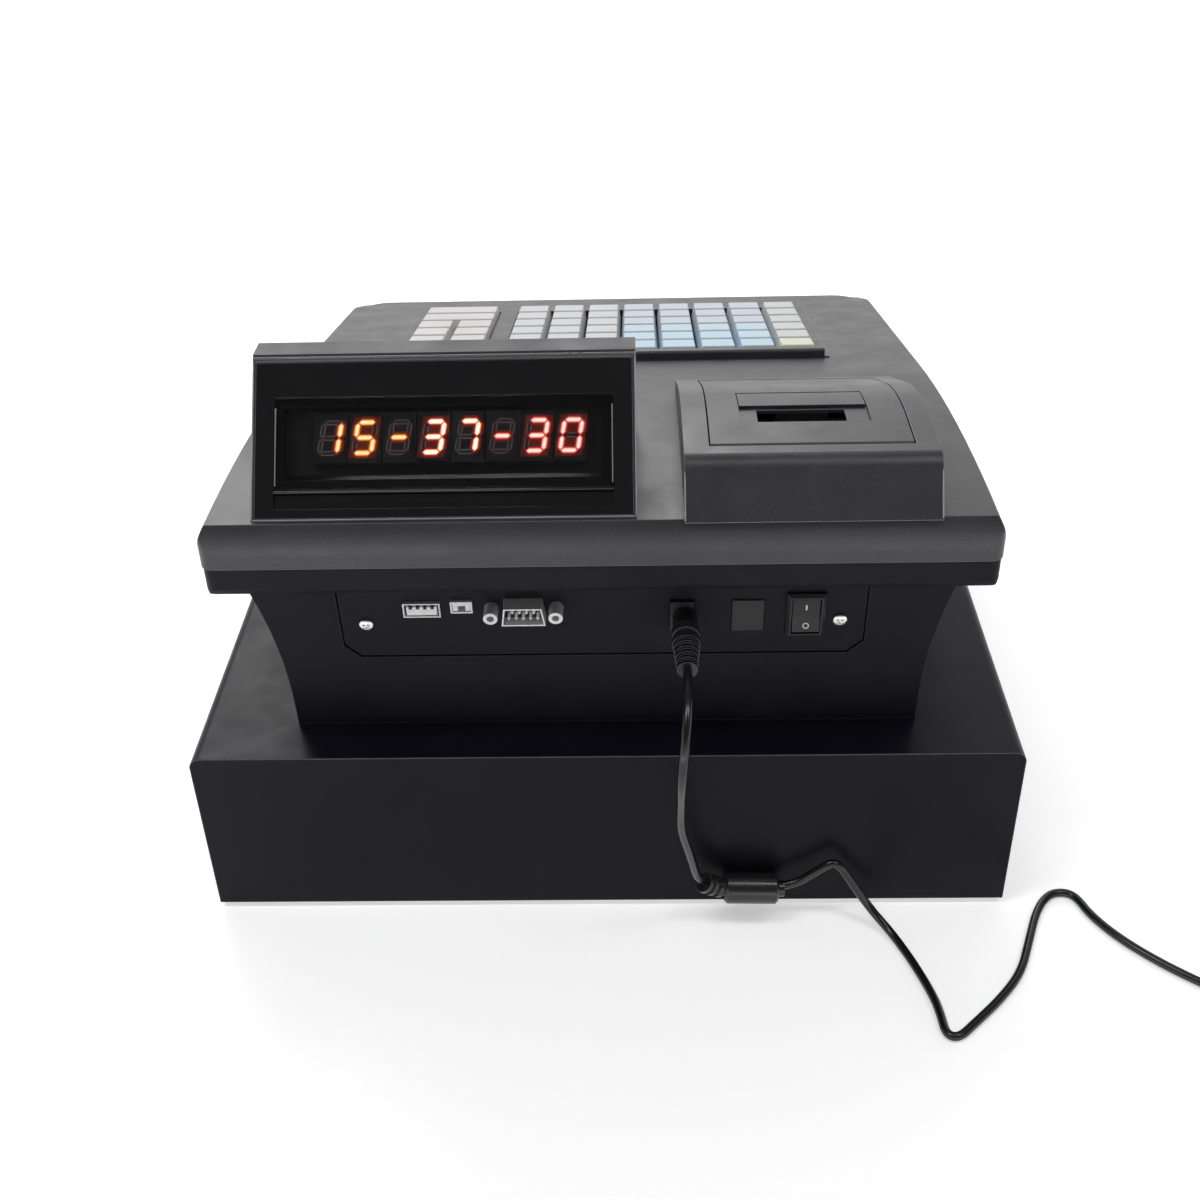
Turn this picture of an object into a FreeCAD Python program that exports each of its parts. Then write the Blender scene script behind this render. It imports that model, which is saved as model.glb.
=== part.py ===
import FreeCAD, Part
import math
import os
import re

import Sketcher

# A ticket register: an electronic cash register standing on its own cash drawer.
# The frame is +Z up, with the operator and the drawer front at -Y and the customer side at +Y.
# The origin is on the floor, under the middle of the drawer.

Vector = FreeCAD.Vector
doc = FreeCAD.newDocument("TicketRegister")

SIZES = {
    # the drawer's case, of folded steel sheet
    "case_width": 335, "case_depth": 360, "case_height": 80, "case_wall": 1.2, "case_bend": 4.5,
    "floor_flange": 10, "foot_height": 3, "foot_radius": 9, "foot_inset": 30, "foot_bevel": 0.8,
    # the drawer's front panel and its lock
    "front_depth": 14, "front_gap": 0.8, "front_lip": 16, "lock_proud": 2, "lock_rise": 45,
    "lock_flange_radius": 10, "lock_radius": 8, "lock_length": 9, "core_radius": 6, "core_gap": 0.05,
    "key_slot_width": 1.4, "key_slot_height": 8, "key_slot_depth": 5, "cam_gap": 0.4,
    "cam_thick": 1.8, "cam_width": 9, "cam_length": 17, "fit_gap": 0.1,
    # the ball slides
    "rail_height": 20, "rail_depth": 10, "rail_sheet": 1.2, "rail_rise": 34, "rail_length": 300,
    "rail_inset": 3, "tray_gap": 0.5, "slider_depth": 7.6, "ball_radius": 1.5, "ball_gap": 0.15,
    "ball_seat": 4.7, "ball_pitch": 22, "cage_sheet": 0.6, "cage_gap": 0.6, "cage_length": 62,
    "cage_flange": 6,
    # the sliding tray and the till in it
    "tray_lift": 5, "tray_height": 50, "tray_wall": 1, "tray_back_gap": 42,
    "till_gap": 1, "till_wall": 2.4, "till_floor": 2, "till_height": 48,
    "coin_length": 127, "coin_depth": 36, "cup_gap": 0.4, "cup_wall": 2, "cup_curve": 24,
    # the bill clips on their rod
    "rod_radius": 1.5, "rod_gap": 0.05, "rod_back": 12, "rod_drop": 7, "clip_hub_radius": 4,
    "clip_hub_width": 24, "clip_arm_length": 92, "clip_arm_width": 14, "clip_sheet": 1.2,
    "clip_paddle_length": 26, "clip_paddle_width": 36, "clip_slant": 22, "clip_curl": 5,
    # the release latch behind the tray
    "latch_plate": 1.2, "latch_width": 84, "latch_depth": 26, "latch_ear_height": 16,
    "latch_ear_gap": 0.3, "latch_back": 15, "latch_rise": 9, "hook_length": 24, "hook_width": 5,
    "hook_radius": 4, "pin_radius": 1.8, "tooth_length": 4, "tooth_height": 3, "tab_length": 11,
    "tab_width": 16, "tab_rise": 17.4, "tab_hole": 9, "coil_width": 24, "coil_height": 20,
    "coil_depth": 22, "coil_offset": 26, "plunger_radius": 3, "plunger_length": 8,
    # the register's deck: a straight slope that bends level towards the back
    "slope": 12.4, "deck_bend": 796, "bend_place": 10, "deck_back": 174, "deck_rise": 106.2,
    "front_reach": 168, "deck_half": 144, "lip_half": 147.7, "lip_back": 178, "roll_drop": 12,
    "parting": 17.1, "lip_depth": 31.3, "lip_corner": 8, "parting_step": 0.4,
    "front_corner": 9, "back_corner": 5, "nose_radius": 6, "shell_wall": 2.5,
    # the register's base, flared at the sides
    "base_half": 126.6, "base_back": 157.3, "base_front": 150, "back_tilt": 5.8,
    "flare_start": 14, "flare_radius": 195, "flare_top": 92,
    # the rear panel, its ledge and its screws
    "panel_half": 101.5, "panel_low": 37.2, "panel_high": 73.8, "panel_chamfer": 6,
    "panel_thick": 2, "panel_sink": 0.5, "panel_groove": 0.6, "ledge_half": 87.5,
    "ledge_rise": 4, "ledge_margin": 4, "ledge_thick": 2.4, "screw_place": 91.9,
    "screw_rise": 53.3, "screw_head_radius": 2.9, "screw_head_height": 1.6,
    "screw_shank_radius": 1.4, "screw_shank_length": 5, "post_radius": 3, "board_depth": 14,
    "board_thick": 1.6, "board_half": 99, "board_low": 41, "board_high": 77,
    # the sockets
    "socket_gap": 0.2, "usb_place": 69.5, "usb_rise": 61, "usb_width": 14.4, "usb_height": 6.8,
    "usb_sheet": 0.5, "usb_proud": 0.8, "usb_tongue": 2, "usb_tongue_width": 11,
    "small_place": 54, "small_rise": 62.3, "small_width": 8.5, "small_height": 5.6,
    "small_sheet": 0.6, "small_tongue": 1.4, "small_proud": 0.8,
    "serial_place": 30, "serial_rise": 61.2, "serial_plate_width": 31,
    "serial_plate_height": 12.4, "serial_plate": 0.8, "serial_wide": 16.9, "serial_narrow": 14.6,
    "serial_height": 8.4, "serial_sheet": 0.6, "serial_proud": 5.8, "serial_post_place": 12.5,
    "serial_post_radius": 2.75, "serial_post_length": 6.4, "serial_post_bore": 1.4,
    "serial_pin_radius": 0.5, "serial_pin_pitch": 2.77, "serial_pin_rows": 2.84,
    "serial_pin_proud": 4.8, "serial_floor": 1.2,
    "jack_place": 30.8, "jack_rise": 57.3, "jack_width": 9.1, "jack_height": 14,
    "jack_proud": 1.4, "jack_bore": 2.85, "jack_bore_depth": 9.5, "jack_bore_place": 32,
    "blank_place": 56.3, "blank_rise": 56.2, "blank_width": 12.8, "blank_height": 15.7,
    "blank_depth": 4, "blank_bevel": 0.4, "blank_proud": 0.2, "blank_lip": 1,
    "switch_place": 78.5, "switch_rise": 56.8, "switch_width": 15, "switch_height": 21,
    "switch_proud": 2, "switch_bevel": 1.2, "switch_rim": 1.9, "switch_depth": 12,
    "rocker_gap": 0.35, "rocker_sink": 2.2, "rocker_tilt": 9,
    "rocker_axle": 1.2, "rocker_proud": 3.4,
    # the display
    "hood_left": 127.1, "hood_right": 14.1, "hood_back": 172, "hood_tilt": 40,
    "hood_face": 62.3, "hood_top": 10.5, "hood_front_tilt": 28, "hood_wall": 2.2,
    "face_side": 1.4, "face_low": 1, "face_high": 3.2, "face_ledge": 2.2, "bezel_thick": 3,
    "lens_gap": 0.15,
    "window_side": 8.2, "window_low": 4.5, "window_high": 16.3, "window_depth": 1.8,
    "lens_low": 12, "lens_thick": 1.6, "lens_rim": 3.4, "digit_width": 12.2,
    "digit_height": 19, "digit_pitch": 12.66, "digit_depth": 5, "digit_board": 1.6,
    "digit_gap": 0.3, "digit_rise": 31, "digit_place": 54, "digit_count": 8,
    "lcd_width": 104, "lcd_height": 26, "lcd_drop": 12, "lcd_thick": 1.4, "lcd_seat": 1.2,
    "lcd_rim": 3,
    # the printer
    "printer_left": 31.2, "printer_right": 123.8, "printer_back": 177, "printer_top": 126.3,
    "printer_shoulder": 122, "printer_shoulder_back": 167.5, "printer_crown_back": 161.5,
    "printer_crown_front": 138, "printer_bend": 139, "printer_slope": 22.4, "printer_toe": 45,
    "printer_sink": 20, "printer_wall": 2.2, "shoulder_radius": 8,
    "lid_left": 40.8, "lid_right": 115.2, "lid_back": 155.6, "lid_front": 53.8, "lid_gap": 0.3,
    "lid_back_gap": 0.6, "lid_slot": 1.6, "lid_thick": 2.4,
    "latch_left": 52.8, "latch_right": 101.9, "flap_front": 106, "flap_back": 123.4,
    "slot_left": 59.6, "slot_right": 93.1, "slot_front": 125.2, "slot_end": 138,
    "recess_depth": 1.2, "flap_gap": 0.3, "flap_hook": 6, "flap_hook_width": 20, "flap_lift": 1.1,
    "platen_place": 66, "platen_rise": 99, "platen_radius": 5, "platen_length": 57,
    "platen_shaft": 1.5, "platen_shaft_length": 62, "ear_radius": 3.6, "ear_thick": 2.2,
    "tub_left": 44, "tub_right": 112, "tub_front": 57, "tub_back": 146, "tub_wall": 2,
    "tub_depth": 40, "tub_flange": 4, "tub_rim": 1.6, "tub_gap": 0.4,
    "roll_radius": 19, "roll_width": 57, "roll_core": 6, "roll_place": 118, "bay_rise": 99,
    "bay_radius": 22, "roll_gap": 0.3,
    "head_width": 58, "head_depth": 10, "head_height": 7, "head_gap": 0.3,
    # the keyboard
    "key_pitch": 18.86, "key_columns": 8, "key_rows": 6, "key_skirt": 18.2, "key_taper": 15.3,
    "key_proud": 4, "key_drop": 3.6, "key_break": 0.4, "stem_width": 4, "stem_depth": 8.4,
    "stem_gap": 0.3, "main_right": 91.4, "key_front": 131.8, "pad_left": 89.6,
    "pad_pitch": 20.4, "pad_skirt": 19.4, "field_gap": 0.35, "plate_drop": 8, "plate_thick": 1.5,
    "bezel_side": 2, "rim_width": 2.4, "rim_height": 0.6, "ridge_depth": 6.5,
    "ridge_height": 4.2, "ridge_round": 1.6, "well_gap": 0.3, "stem_length": 8.5,
    # the lead, its plug, its bead and its adapter
    "cord_radius": 1.8, "plug_tip": 2.75, "plug_tip_length": 8.5, "plug_grip": 4.9,
    "plug_ring": 5.3, "plug_neck": 3.6, "plug_ring_place": 10,
    "plug_ring_width": 3.6, "plug_ring_gap": 1.2, "plug_length": 32,
    "plug_rib_depth": 0.7, "plug_ribs": 5, "plug_rib_share": 0.4,
    "bead_radius": 6.5, "bead_start": 48.5, "bead_length": 22.5, "bead_collar": 2.6,
    "bead_collar_radius": 3.4, "bead_bevel": 1.2, "bead_gap": 0.15, "bead_ring": 4.4,
    "bead_ring_width": 1.8, "bead_ring_share": 0.42, "bead_step_share": 0.16,
    "bead_rings": 4, "bead_sleeve_share": 0.4,
    "coil_inner": 14.5, "coil_pitch": 4.4, "coil_layer": 4.4, "coil_dip": 1.2,
    "coil_turns_in": 2.5, "coil_turns_out": 2.25, "coil_x": 283, "coil_y": 215,
    "coil_tail": 14, "coil_run_in": 14.4, "coil_step_share": 0.002, "bend_share": 0.45,
    "adapter_width": 42, "adapter_length": 62, "adapter_height": 28, "adapter_edge": 4,
    "adapter_neck_radius": 3.6, "adapter_neck_length": 12, "blade_width": 6.3,
    "blade_thick": 1.5, "blade_length": 17, "blade_spread": 6.35,
    # what a cut runs past the solid
    "overrun": 1,
}

sheet = doc.addObject("Spreadsheet::Sheet", "Sizes")
for row, (name, amount) in enumerate(SIZES.items(), 1):
    sheet.set(f"A{row}", name)
    sheet.set(f"B{row}", str(amount))
    sheet.setAlias(f"B{row}", name)
doc.recompute()


def bound(text):
    """The expression with each size's name led back to its cell."""
    return re.sub(r"[a-z][a-z0-9_]*", lambda w: "Sizes." + w[0] if w[0] in SIZES else w[0], text)


def size(text):
    """The value of an expression of sizes, as a plain number."""
    amount = sheet.evalExpression(bound(text))
    return float(getattr(amount, "Value", amount))


def place(item, at=("0", "0", "0"), turn="0"):
    """Puts an object at a point, turned about X, both as expressions."""
    item.Placement = FreeCAD.Placement(
        Vector(*[size(c) for c in at]), FreeCAD.Rotation(Vector(1, 0, 0), size(turn))
    )
    for axis, text in zip("xyz", at):
        item.setExpression(f"Placement.Base.{axis}", bound(text))
    if turn != "0":
        item.setExpression("Placement.Rotation.Angle", bound(f"({turn}) * 1 deg"))
    return item


def box(x0, y0, x1, y1):
    """The corners of a rectangle."""
    return [(x0, y0), (x1, y0), (x1, y1), (x0, y1)]


def ring(x, y, radius):
    """A circle, as a loop of its own kind."""
    return ("circle", x, y, radius)


def mirrored(loop):
    """The same loop on the other side of x = 0."""
    if loop[0] == "circle":
        return ("circle", f"-({loop[1]})", loop[2], loop[3])
    other = {"cw": "ccw", "ccw": "cw"}
    return [
        (f"-({c[0]})", c[1]) + ((c[2], other[c[3]]) if len(c) > 2 else ()) for c in loop
    ]


def draw(outline, loop):
    """Draws one loop in a sketch and ties it to the sizes. A corner of four values ends an arc."""
    tie = Sketcher.Constraint
    if loop[0] == "circle":
        x, y, radius = (size(text) for text in loop[1:])
        edge = outline.addGeometry(Part.Circle(Vector(x, y, 0), Vector(0, 0, 1), radius))
        for kind, text in zip(("DistanceX", "DistanceY"), loop[1:3]):
            number = outline.addConstraint(tie(kind, -1, 1, edge, 3, size(text)))
            outline.setExpression(f"Constraints[{number}]", bound(text))
        number = outline.addConstraint(tie("Radius", edge, radius))
        outline.setExpression(f"Constraints[{number}]", bound(loop[3]))
        return
    spots = [Vector(size(c[0]), size(c[1]), 0) for c in loop]
    base = outline.GeometryCount
    shapes, ends, rounds = [], [], []
    for i, start in enumerate(spots):
        target = (i + 1) % len(spots)
        end, corner = spots[target], loop[target]
        if len(corner) == 2:
            shapes.append(Part.LineSegment(start, end))
            ends.append((base + i, 1, 2))
            continue
        left = corner[3] == "ccw"
        radius, chord = size(corner[2]), end - start
        rise = math.sqrt(max(radius ** 2 - chord.Length ** 2 / 4, 0))
        aside = Vector(-chord.y, chord.x, 0).normalize() * (rise if left else -rise)
        centre = (start + end) / 2 + aside
        first, last = [
            math.atan2(p.y - centre.y, p.x - centre.x)
            for p in ((start, end) if left else (end, start))
        ]
        shapes.append(Part.ArcOfCircle(Part.Circle(centre, Vector(0, 0, 1), radius), first, last))
        ends.append((base + i, 1, 2) if left else (base + i, 2, 1))
        rounds.append((base + i, corner[2]))
    outline.addGeometry(shapes)
    ties, texts = [], []
    for (edge, _, last), (after, first, _) in zip(ends, ends[1:] + ends[:1]):
        ties.append(tie("Coincident", edge, last, after, first))
        texts.append(None)
    for (edge, first, _), corner, spot in zip(ends, loop, spots):
        ties += [tie("DistanceX", -1, 1, edge, first, spot.x)]
        ties += [tie("DistanceY", -1, 1, edge, first, spot.y)]
        texts += [corner[0], corner[1]]
    for edge, text in rounds:
        ties.append(tie("Radius", edge, size(text)))
        texts.append(text)
    start = outline.ConstraintCount
    outline.addConstraint(ties)
    for number, text in enumerate(texts, start):
        if text is not None:
            outline.setExpression(f"Constraints[{number}]", bound(text))


class Piece:
    """A body of sketched features. Every pad and cut runs from its lift along +X, +Y or +Z."""

    def __init__(self, label, at=("0", "0", "0"), turn="0"):
        self.body = doc.addObject("PartDesign::Body", label)
        self.body.Label = label
        self.body.AllowCompound = True
        self.steps = 0
        place(self.body, at, turn)

    def origin(self, role):
        return [f for f in self.body.Origin.OriginFeatures if f.Role == role][0]

    def feature(self, kind):
        self.steps += 1
        return self.body.newObject(kind, f"{self.body.Name}_{kind.split('::')[1]}_{self.steps}")

    def sketch(self, plane, loops, lift="0"):
        outline = self.feature("Sketcher::SketchObject")
        outline.AttachmentSupport = [(self.origin(f"{plane}_Plane"), "")]
        outline.MapMode = "FlatFace"
        text = f"-({lift})" if plane == "XZ" else lift
        outline.AttachmentOffset = FreeCAD.Placement(Vector(0, 0, size(text)), FreeCAD.Rotation())
        outline.setExpression("AttachmentOffset.Base.z", bound(text))
        for loop in loops:
            draw(outline, loop)
        return outline

    def extrude(self, kind, plane, loops, length, lift, both, taper, away):
        outline = self.sketch(plane, loops, lift)
        step = self.feature(kind)
        step.Profile = outline
        step.setExpression("Length", bound(length))
        if both:
            step.SideType = "Symmetric"
        step.Reversed = away
        if taper:
            step.setExpression("TaperAngle", bound(f"-({taper}) * 1 deg"))
        outline.Visibility = False
        return self

    def pad(self, plane, loops, length, lift="0", both=False, taper=None):
        away = plane == "XZ"
        return self.extrude("PartDesign::Pad", plane, loops, length, lift, both, taper, away)

    def cut(self, plane, loops, length, lift="0", both=False):
        away = plane != "XZ"
        return self.extrude("PartDesign::Pocket", plane, loops, length, lift, both, None, away)

    def spin(self, plane, loops, axis, angle="360 * 1 deg", away=False, groove=False):
        outline = self.sketch(plane, loops)
        step = self.feature("PartDesign::Groove" if groove else "PartDesign::Revolution")
        step.Profile = outline
        step.ReferenceAxis = (self.origin(f"{axis}_Axis"), [""])
        step.setExpression("Angle", bound(angle))
        step.Reversed = away
        return self

    def soften(self, kind, amount, choose):
        """Fillets or chamfers the edges that choose() picks from the last feature."""
        doc.recompute()
        tip = self.body.Tip
        names = [f"Edge{i}" for i, edge in enumerate(tip.Shape.Edges, 1) if choose(edge)]
        step = self.feature(f"PartDesign::{kind}")
        step.Base = (tip, names)
        step.setExpression("Radius" if kind == "Fillet" else "Size", bound(amount))
        return self


def straight(edge, axis):
    """Whether an edge is a straight line along x, y or z of its body."""
    if edge.Curve.TypeId != "Part::GeomLine":
        return False
    run = edge.Vertexes[-1].Point - edge.Vertexes[0].Point
    return abs(getattr(run, axis)) > run.Length * math.cos(math.radians(1))


def at_level(edge, axis, text):
    """Whether an edge's middle lies at this place along x, y or z."""
    return abs(getattr(edge.BoundBox.Center, axis) - size(text)) < size("cord_radius") / 100


def join(label, kind, *items):
    """One object out of several: Cut takes the rest from the first, the others join them all."""
    solids = [item.body if isinstance(item, Piece) else item for item in items]
    if kind == "Cut":
        result = doc.addObject("Part::Cut", label)
        result.Base = solids[0]
        result.Tool = solids[1] if len(solids) == 2 else join(f"{label}_tools", "Fuse", *solids[1:])
    else:
        result = doc.addObject(f"Part::Multi{kind}", label)
        result.Shapes = solids
    result.Label = label
    return result


# Places that several pieces share.
CASE_TOP = "(foot_height + case_height)"
CASE_BACK = "(case_depth / 2)"
FRONT_FACE = "(lock_proud - case_depth / 2)"
FRONT_BACK = "(lock_proud + front_depth - case_depth / 2)"
CASE_FRONT = "(lock_proud + front_depth + front_gap - case_depth / 2)"
CASE_INNER = "(case_width / 2 - case_wall)"
TRAY_SIDE = "(case_width / 2 - case_wall - rail_depth - tray_gap)"
TRAY_BASE = "(foot_height + tray_lift)"
TRAY_BACK = "(case_depth / 2 - case_wall - tray_back_gap)"
RAIL_Z = "(foot_height + rail_rise)"
RAIL_FRONT = "(lock_proud + front_depth + front_gap - case_depth / 2 + rail_inset)"
RAIL_MIDDLE = f"({RAIL_FRONT} + rail_length / 2)"
SLIDER_HALF = "(rail_height / 2 - rail_sheet - 2 * ball_radius - 2 * ball_gap)"
TILL_BASE = "(foot_height + tray_lift + tray_wall)"
TILL_TOP = f"({TILL_BASE} + till_height)"
TILL_SIDE = f"({TRAY_SIDE} - tray_wall - till_gap)"
TILL_FRONT = f"({FRONT_BACK} + tray_wall + till_gap)"
TILL_BACK = f"({TRAY_BACK} - tray_wall - till_gap)"
COIN_BACK = f"({TILL_FRONT} + till_wall + coin_length)"
ROD_Y = f"({TILL_BACK} - rod_back)"
ROD_Z = f"({TILL_TOP} - rod_drop)"
LOCK_Z = "(foot_height + lock_rise)"

# The deck's surface. Its level part is an arc about an axis along X.
BACK_SINE = "(sin(slope) - (deck_back - bend_place) / deck_bend)"
DECK_Z = "(foot_height + case_height + deck_rise)"
BEND_Z = f"({DECK_Z} - deck_bend * (sqrt(1 - {BACK_SINE} ^ 2) - cos(slope)))"
ARC_Y = "(bend_place + deck_bend * sin(slope))"
ARC_Z = f"({BEND_Z} - deck_bend * cos(slope))"
FRONT_Z = f"({BEND_Z} - (bend_place + front_reach) * tan(slope))"
SLOPE_AT = ("0", "bend_place", BEND_Z)
REAR_AT = ("0", "base_back", CASE_TOP)

kept = {}


def keep(name, item):
    """Lists a finished piece under the name of its file."""
    kept[name] = item.body if isinstance(item, Piece) else item
    return kept[name]


def swept(label, section, forward, back_to):
    """A section carried along the deck: straight down the front slope and round the arc."""
    body = Piece(label, ("0", ARC_Y, ARC_Z), "slope")
    body.pad("XZ", [section], forward, lift=f"-({forward})")
    sine = f"(sin(slope) - ({back_to} - bend_place) / deck_bend)"
    return body.spin("XZ", [section], "X", f"slope * 1 deg - asin({sine})", away=True)


def deck_box(half, high, low):
    """A section of the deck between two depths under its surface."""
    return box(f"-({half})", f"deck_bend - ({low})", half, f"deck_bend - ({high})")


FORWARD = "((bend_place + front_reach) / cos(slope) + lip_depth)"
FORWARD_INNER = "((bend_place + front_reach - shell_wall) / cos(slope))"
BACK_OUTER = "(lip_back + back_corner)"
BACK_INNER = "(lip_back - 2 * shell_wall)"


def drawer_case():
    """The cover: top, sides and back in one folded sheet."""
    def arch(inset, low):
        half, bend = f"(case_width / 2 - {inset})", f"(case_bend - {inset})"
        top = f"({CASE_TOP} - {inset})"
        return [
            (f"-{half}", low), (f"{half}", low), (half, f"{top} - {bend}"),
            (f"{half} - {bend}", top, bend, "ccw"), (f"-({half} - {bend})", top),
            (f"-{half}", f"{top} - {bend}", bend, "ccw"),
        ]
    case = Piece("drawer_case")
    case.pad("XZ", [arch("0", "foot_height")], f"{CASE_BACK} - {CASE_FRONT}", CASE_FRONT)
    inner = arch("case_wall", "foot_height - overrun")
    case.cut("XZ", [inner], f"{CASE_BACK} - case_wall - {CASE_FRONT} + overrun",
             f"{CASE_FRONT} - overrun")
    keep("drawer_case", case)


def case_floor():
    """The bottom pan, with a flange up each side."""
    floor = Piece("case_floor")
    low, high = "foot_height", "(foot_height + floor_flange)"
    section = [
        (f"-{CASE_INNER}", low), (CASE_INNER, low), (CASE_INNER, high),
        (f"{CASE_INNER} - case_wall", high), (f"{CASE_INNER} - case_wall", f"{low} + case_wall"),
        (f"-({CASE_INNER} - case_wall)", f"{low} + case_wall"),
        (f"-({CASE_INNER} - case_wall)", high), (f"-{CASE_INNER}", high),
    ]
    floor.pad("XZ", [section], f"{CASE_BACK} - case_wall - {CASE_FRONT}", CASE_FRONT)
    keep("case_floor", floor)
    feet = Piece("case_feet")
    rings = [
        ring(f"{sx} * (case_width / 2 - foot_inset)", f"{sy} * (case_depth / 2 - foot_inset)",
             "foot_radius")
        for sx in (-1, 1) for sy in (-1, 1)
    ]
    feet.pad("XY", rings, "foot_height")
    feet.soften("Chamfer", "foot_bevel", lambda e: at_level(e, "z", "0"))
    keep("case_feet", feet)


def ball_slides():
    """The fixed rails, the sliders on the tray and the ball cages that run between them."""
    half, sheet_in = "rail_height / 2", "rail_height / 2 - rail_sheet"
    web = f"{CASE_INNER} - rail_sheet"
    tip = f"{CASE_INNER} - rail_depth"
    rail = [
        (tip, f"{RAIL_Z} - {half}"), (CASE_INNER, f"{RAIL_Z} - {half}"),
        (CASE_INNER, f"{RAIL_Z} + {half}"), (tip, f"{RAIL_Z} + {half}"),
        (tip, f"{RAIL_Z} + {sheet_in}"), (web, f"{RAIL_Z} + {sheet_in}"),
        (web, f"{RAIL_Z} - ({sheet_in})"), (tip, f"{RAIL_Z} - ({sheet_in})"),
    ]
    rails = Piece("case_rails")
    rails.pad("XZ", [rail, mirrored(rail)], "rail_length", RAIL_FRONT)
    keep("case_rails", rails)

    web, tip = f"({TRAY_SIDE} + rail_sheet)", f"({TRAY_SIDE} + slider_depth)"
    inner = f"({SLIDER_HALF} - rail_sheet)"
    slider = [
        (TRAY_SIDE, f"{RAIL_Z} - {SLIDER_HALF}"), (tip, f"{RAIL_Z} - {SLIDER_HALF}"),
        (tip, f"{RAIL_Z} - {inner}"), (web, f"{RAIL_Z} - {inner}"),
        (web, f"{RAIL_Z} + {inner}"), (tip, f"{RAIL_Z} + {inner}"),
        (tip, f"{RAIL_Z} + {SLIDER_HALF}"), (TRAY_SIDE, f"{RAIL_Z} + {SLIDER_HALF}"),
    ]
    sliders = Piece("tray_rails")
    sliders.pad("XZ", [slider, mirrored(slider)], "rail_length", RAIL_FRONT)
    keep("tray_rails", sliders)

    row = f"({SLIDER_HALF} + ball_gap + ball_radius)"
    outer = f"({CASE_INNER} - rail_sheet - cage_gap)"
    high, low = f"({row} + cage_sheet / 2)", f"({row} - cage_sheet / 2)"
    tip = f"({outer} - cage_flange)"
    strip = [
        (tip, f"{RAIL_Z} - {high}"), (outer, f"{RAIL_Z} - {high}"),
        (outer, f"{RAIL_Z} + {high}"), (tip, f"{RAIL_Z} + {high}"),
        (tip, f"{RAIL_Z} + {low}"), (f"{outer} - cage_sheet", f"{RAIL_Z} + {low}"),
        (f"{outer} - cage_sheet", f"{RAIL_Z} - {low}"), (tip, f"{RAIL_Z} - {low}"),
    ]
    strips = Piece("cage_strips")
    strips.pad("XZ", [strip, mirrored(strip)], "cage_length", f"{RAIL_MIDDLE} - cage_length / 2")
    balls = [strips]
    for side in (-1, 1):
        for level in (-1, 1):
            for step in (-1, 0, 1):
                ball = doc.addObject("Part::Sphere", "ball")
                ball.setExpression("Radius", bound("ball_radius"))
                place(ball, (f"{side} * ({TRAY_SIDE} + ball_seat)",
                             f"{RAIL_MIDDLE} + {step} * ball_pitch",
                             f"{RAIL_Z} + {level} * {row}"))
                balls.append(ball)
    keep("ball_cages", join("ball_cages", "Fuse", *balls))


def drawer_tray():
    """The sliding pan, with the tab at its back that the latch holds."""
    tray = Piece("drawer_tray")
    plan = box(f"-{TRAY_SIDE}", FRONT_BACK, TRAY_SIDE, TRAY_BACK)
    tray.pad("XY", [plan], "tray_height", TRAY_BASE)
    hollow = box(f"-({TRAY_SIDE} - tray_wall)", f"{FRONT_BACK} + tray_wall",
                 f"{TRAY_SIDE} - tray_wall", f"{TRAY_BACK} - tray_wall")
    tray.cut("XY", [hollow], "tray_height - tray_wall + overrun", f"{TRAY_BASE} + tray_wall")
    tab = box("-tab_width / 2", f"{TRAY_BACK} - tray_wall", "tab_width / 2",
              f"{TRAY_BACK} + tab_length")
    hole = box("-tab_hole / 2", f"{TRAY_BACK} + tab_length - tab_hole - tray_wall",
               "tab_hole / 2", f"{TRAY_BACK} + tab_length - tray_wall")
    tray.pad("XY", [tab], "latch_plate", "foot_height + tab_rise")
    tray.cut("XY", [hole], "latch_plate + 2 * overrun", "foot_height + tab_rise - overrun")
    keep("drawer_tray", tray)


def drawer_front():
    """The front panel: a folded sheet with a lip all round its back."""
    half, low = "case_width / 2", "(foot_height + front_gap)"

    def face(inset):
        edge, bend = f"({half} - ({inset}))", "(case_bend)"
        top = f"({CASE_TOP} - ({inset}))"
        return [
            (f"-{edge}", f"{low} + {inset}"), (edge, f"{low} + {inset}"),
            (edge, f"{top} - {bend}"), (f"{edge} - {bend}", top, bend, "ccw"),
            (f"-({edge} - {bend})", top), (f"-{edge}", f"{top} - {bend}", bend, "ccw"),
        ]
    front = Piece("drawer_front")
    front.pad("XZ", [face("0")], "front_depth", FRONT_FACE)
    front.cut("XZ", [face("case_wall")], "front_depth - 2 * case_wall",
              f"{FRONT_FACE} + case_wall")
    front.cut("XZ", [face("front_lip")], "case_wall + 2 * overrun",
              f"{FRONT_BACK} - case_wall - overrun")
    front.cut("XZ", [ring("0", LOCK_Z, "lock_radius + fit_gap")], "case_wall + 2 * overrun",
              f"{FRONT_FACE} - overrun")
    front.soften("Fillet", "case_wall", lambda e: at_level(e, "y", FRONT_FACE)
                 and e.BoundBox.DiagonalLength > size("lock_radius * 3"))
    keep("drawer_front", front)


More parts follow.
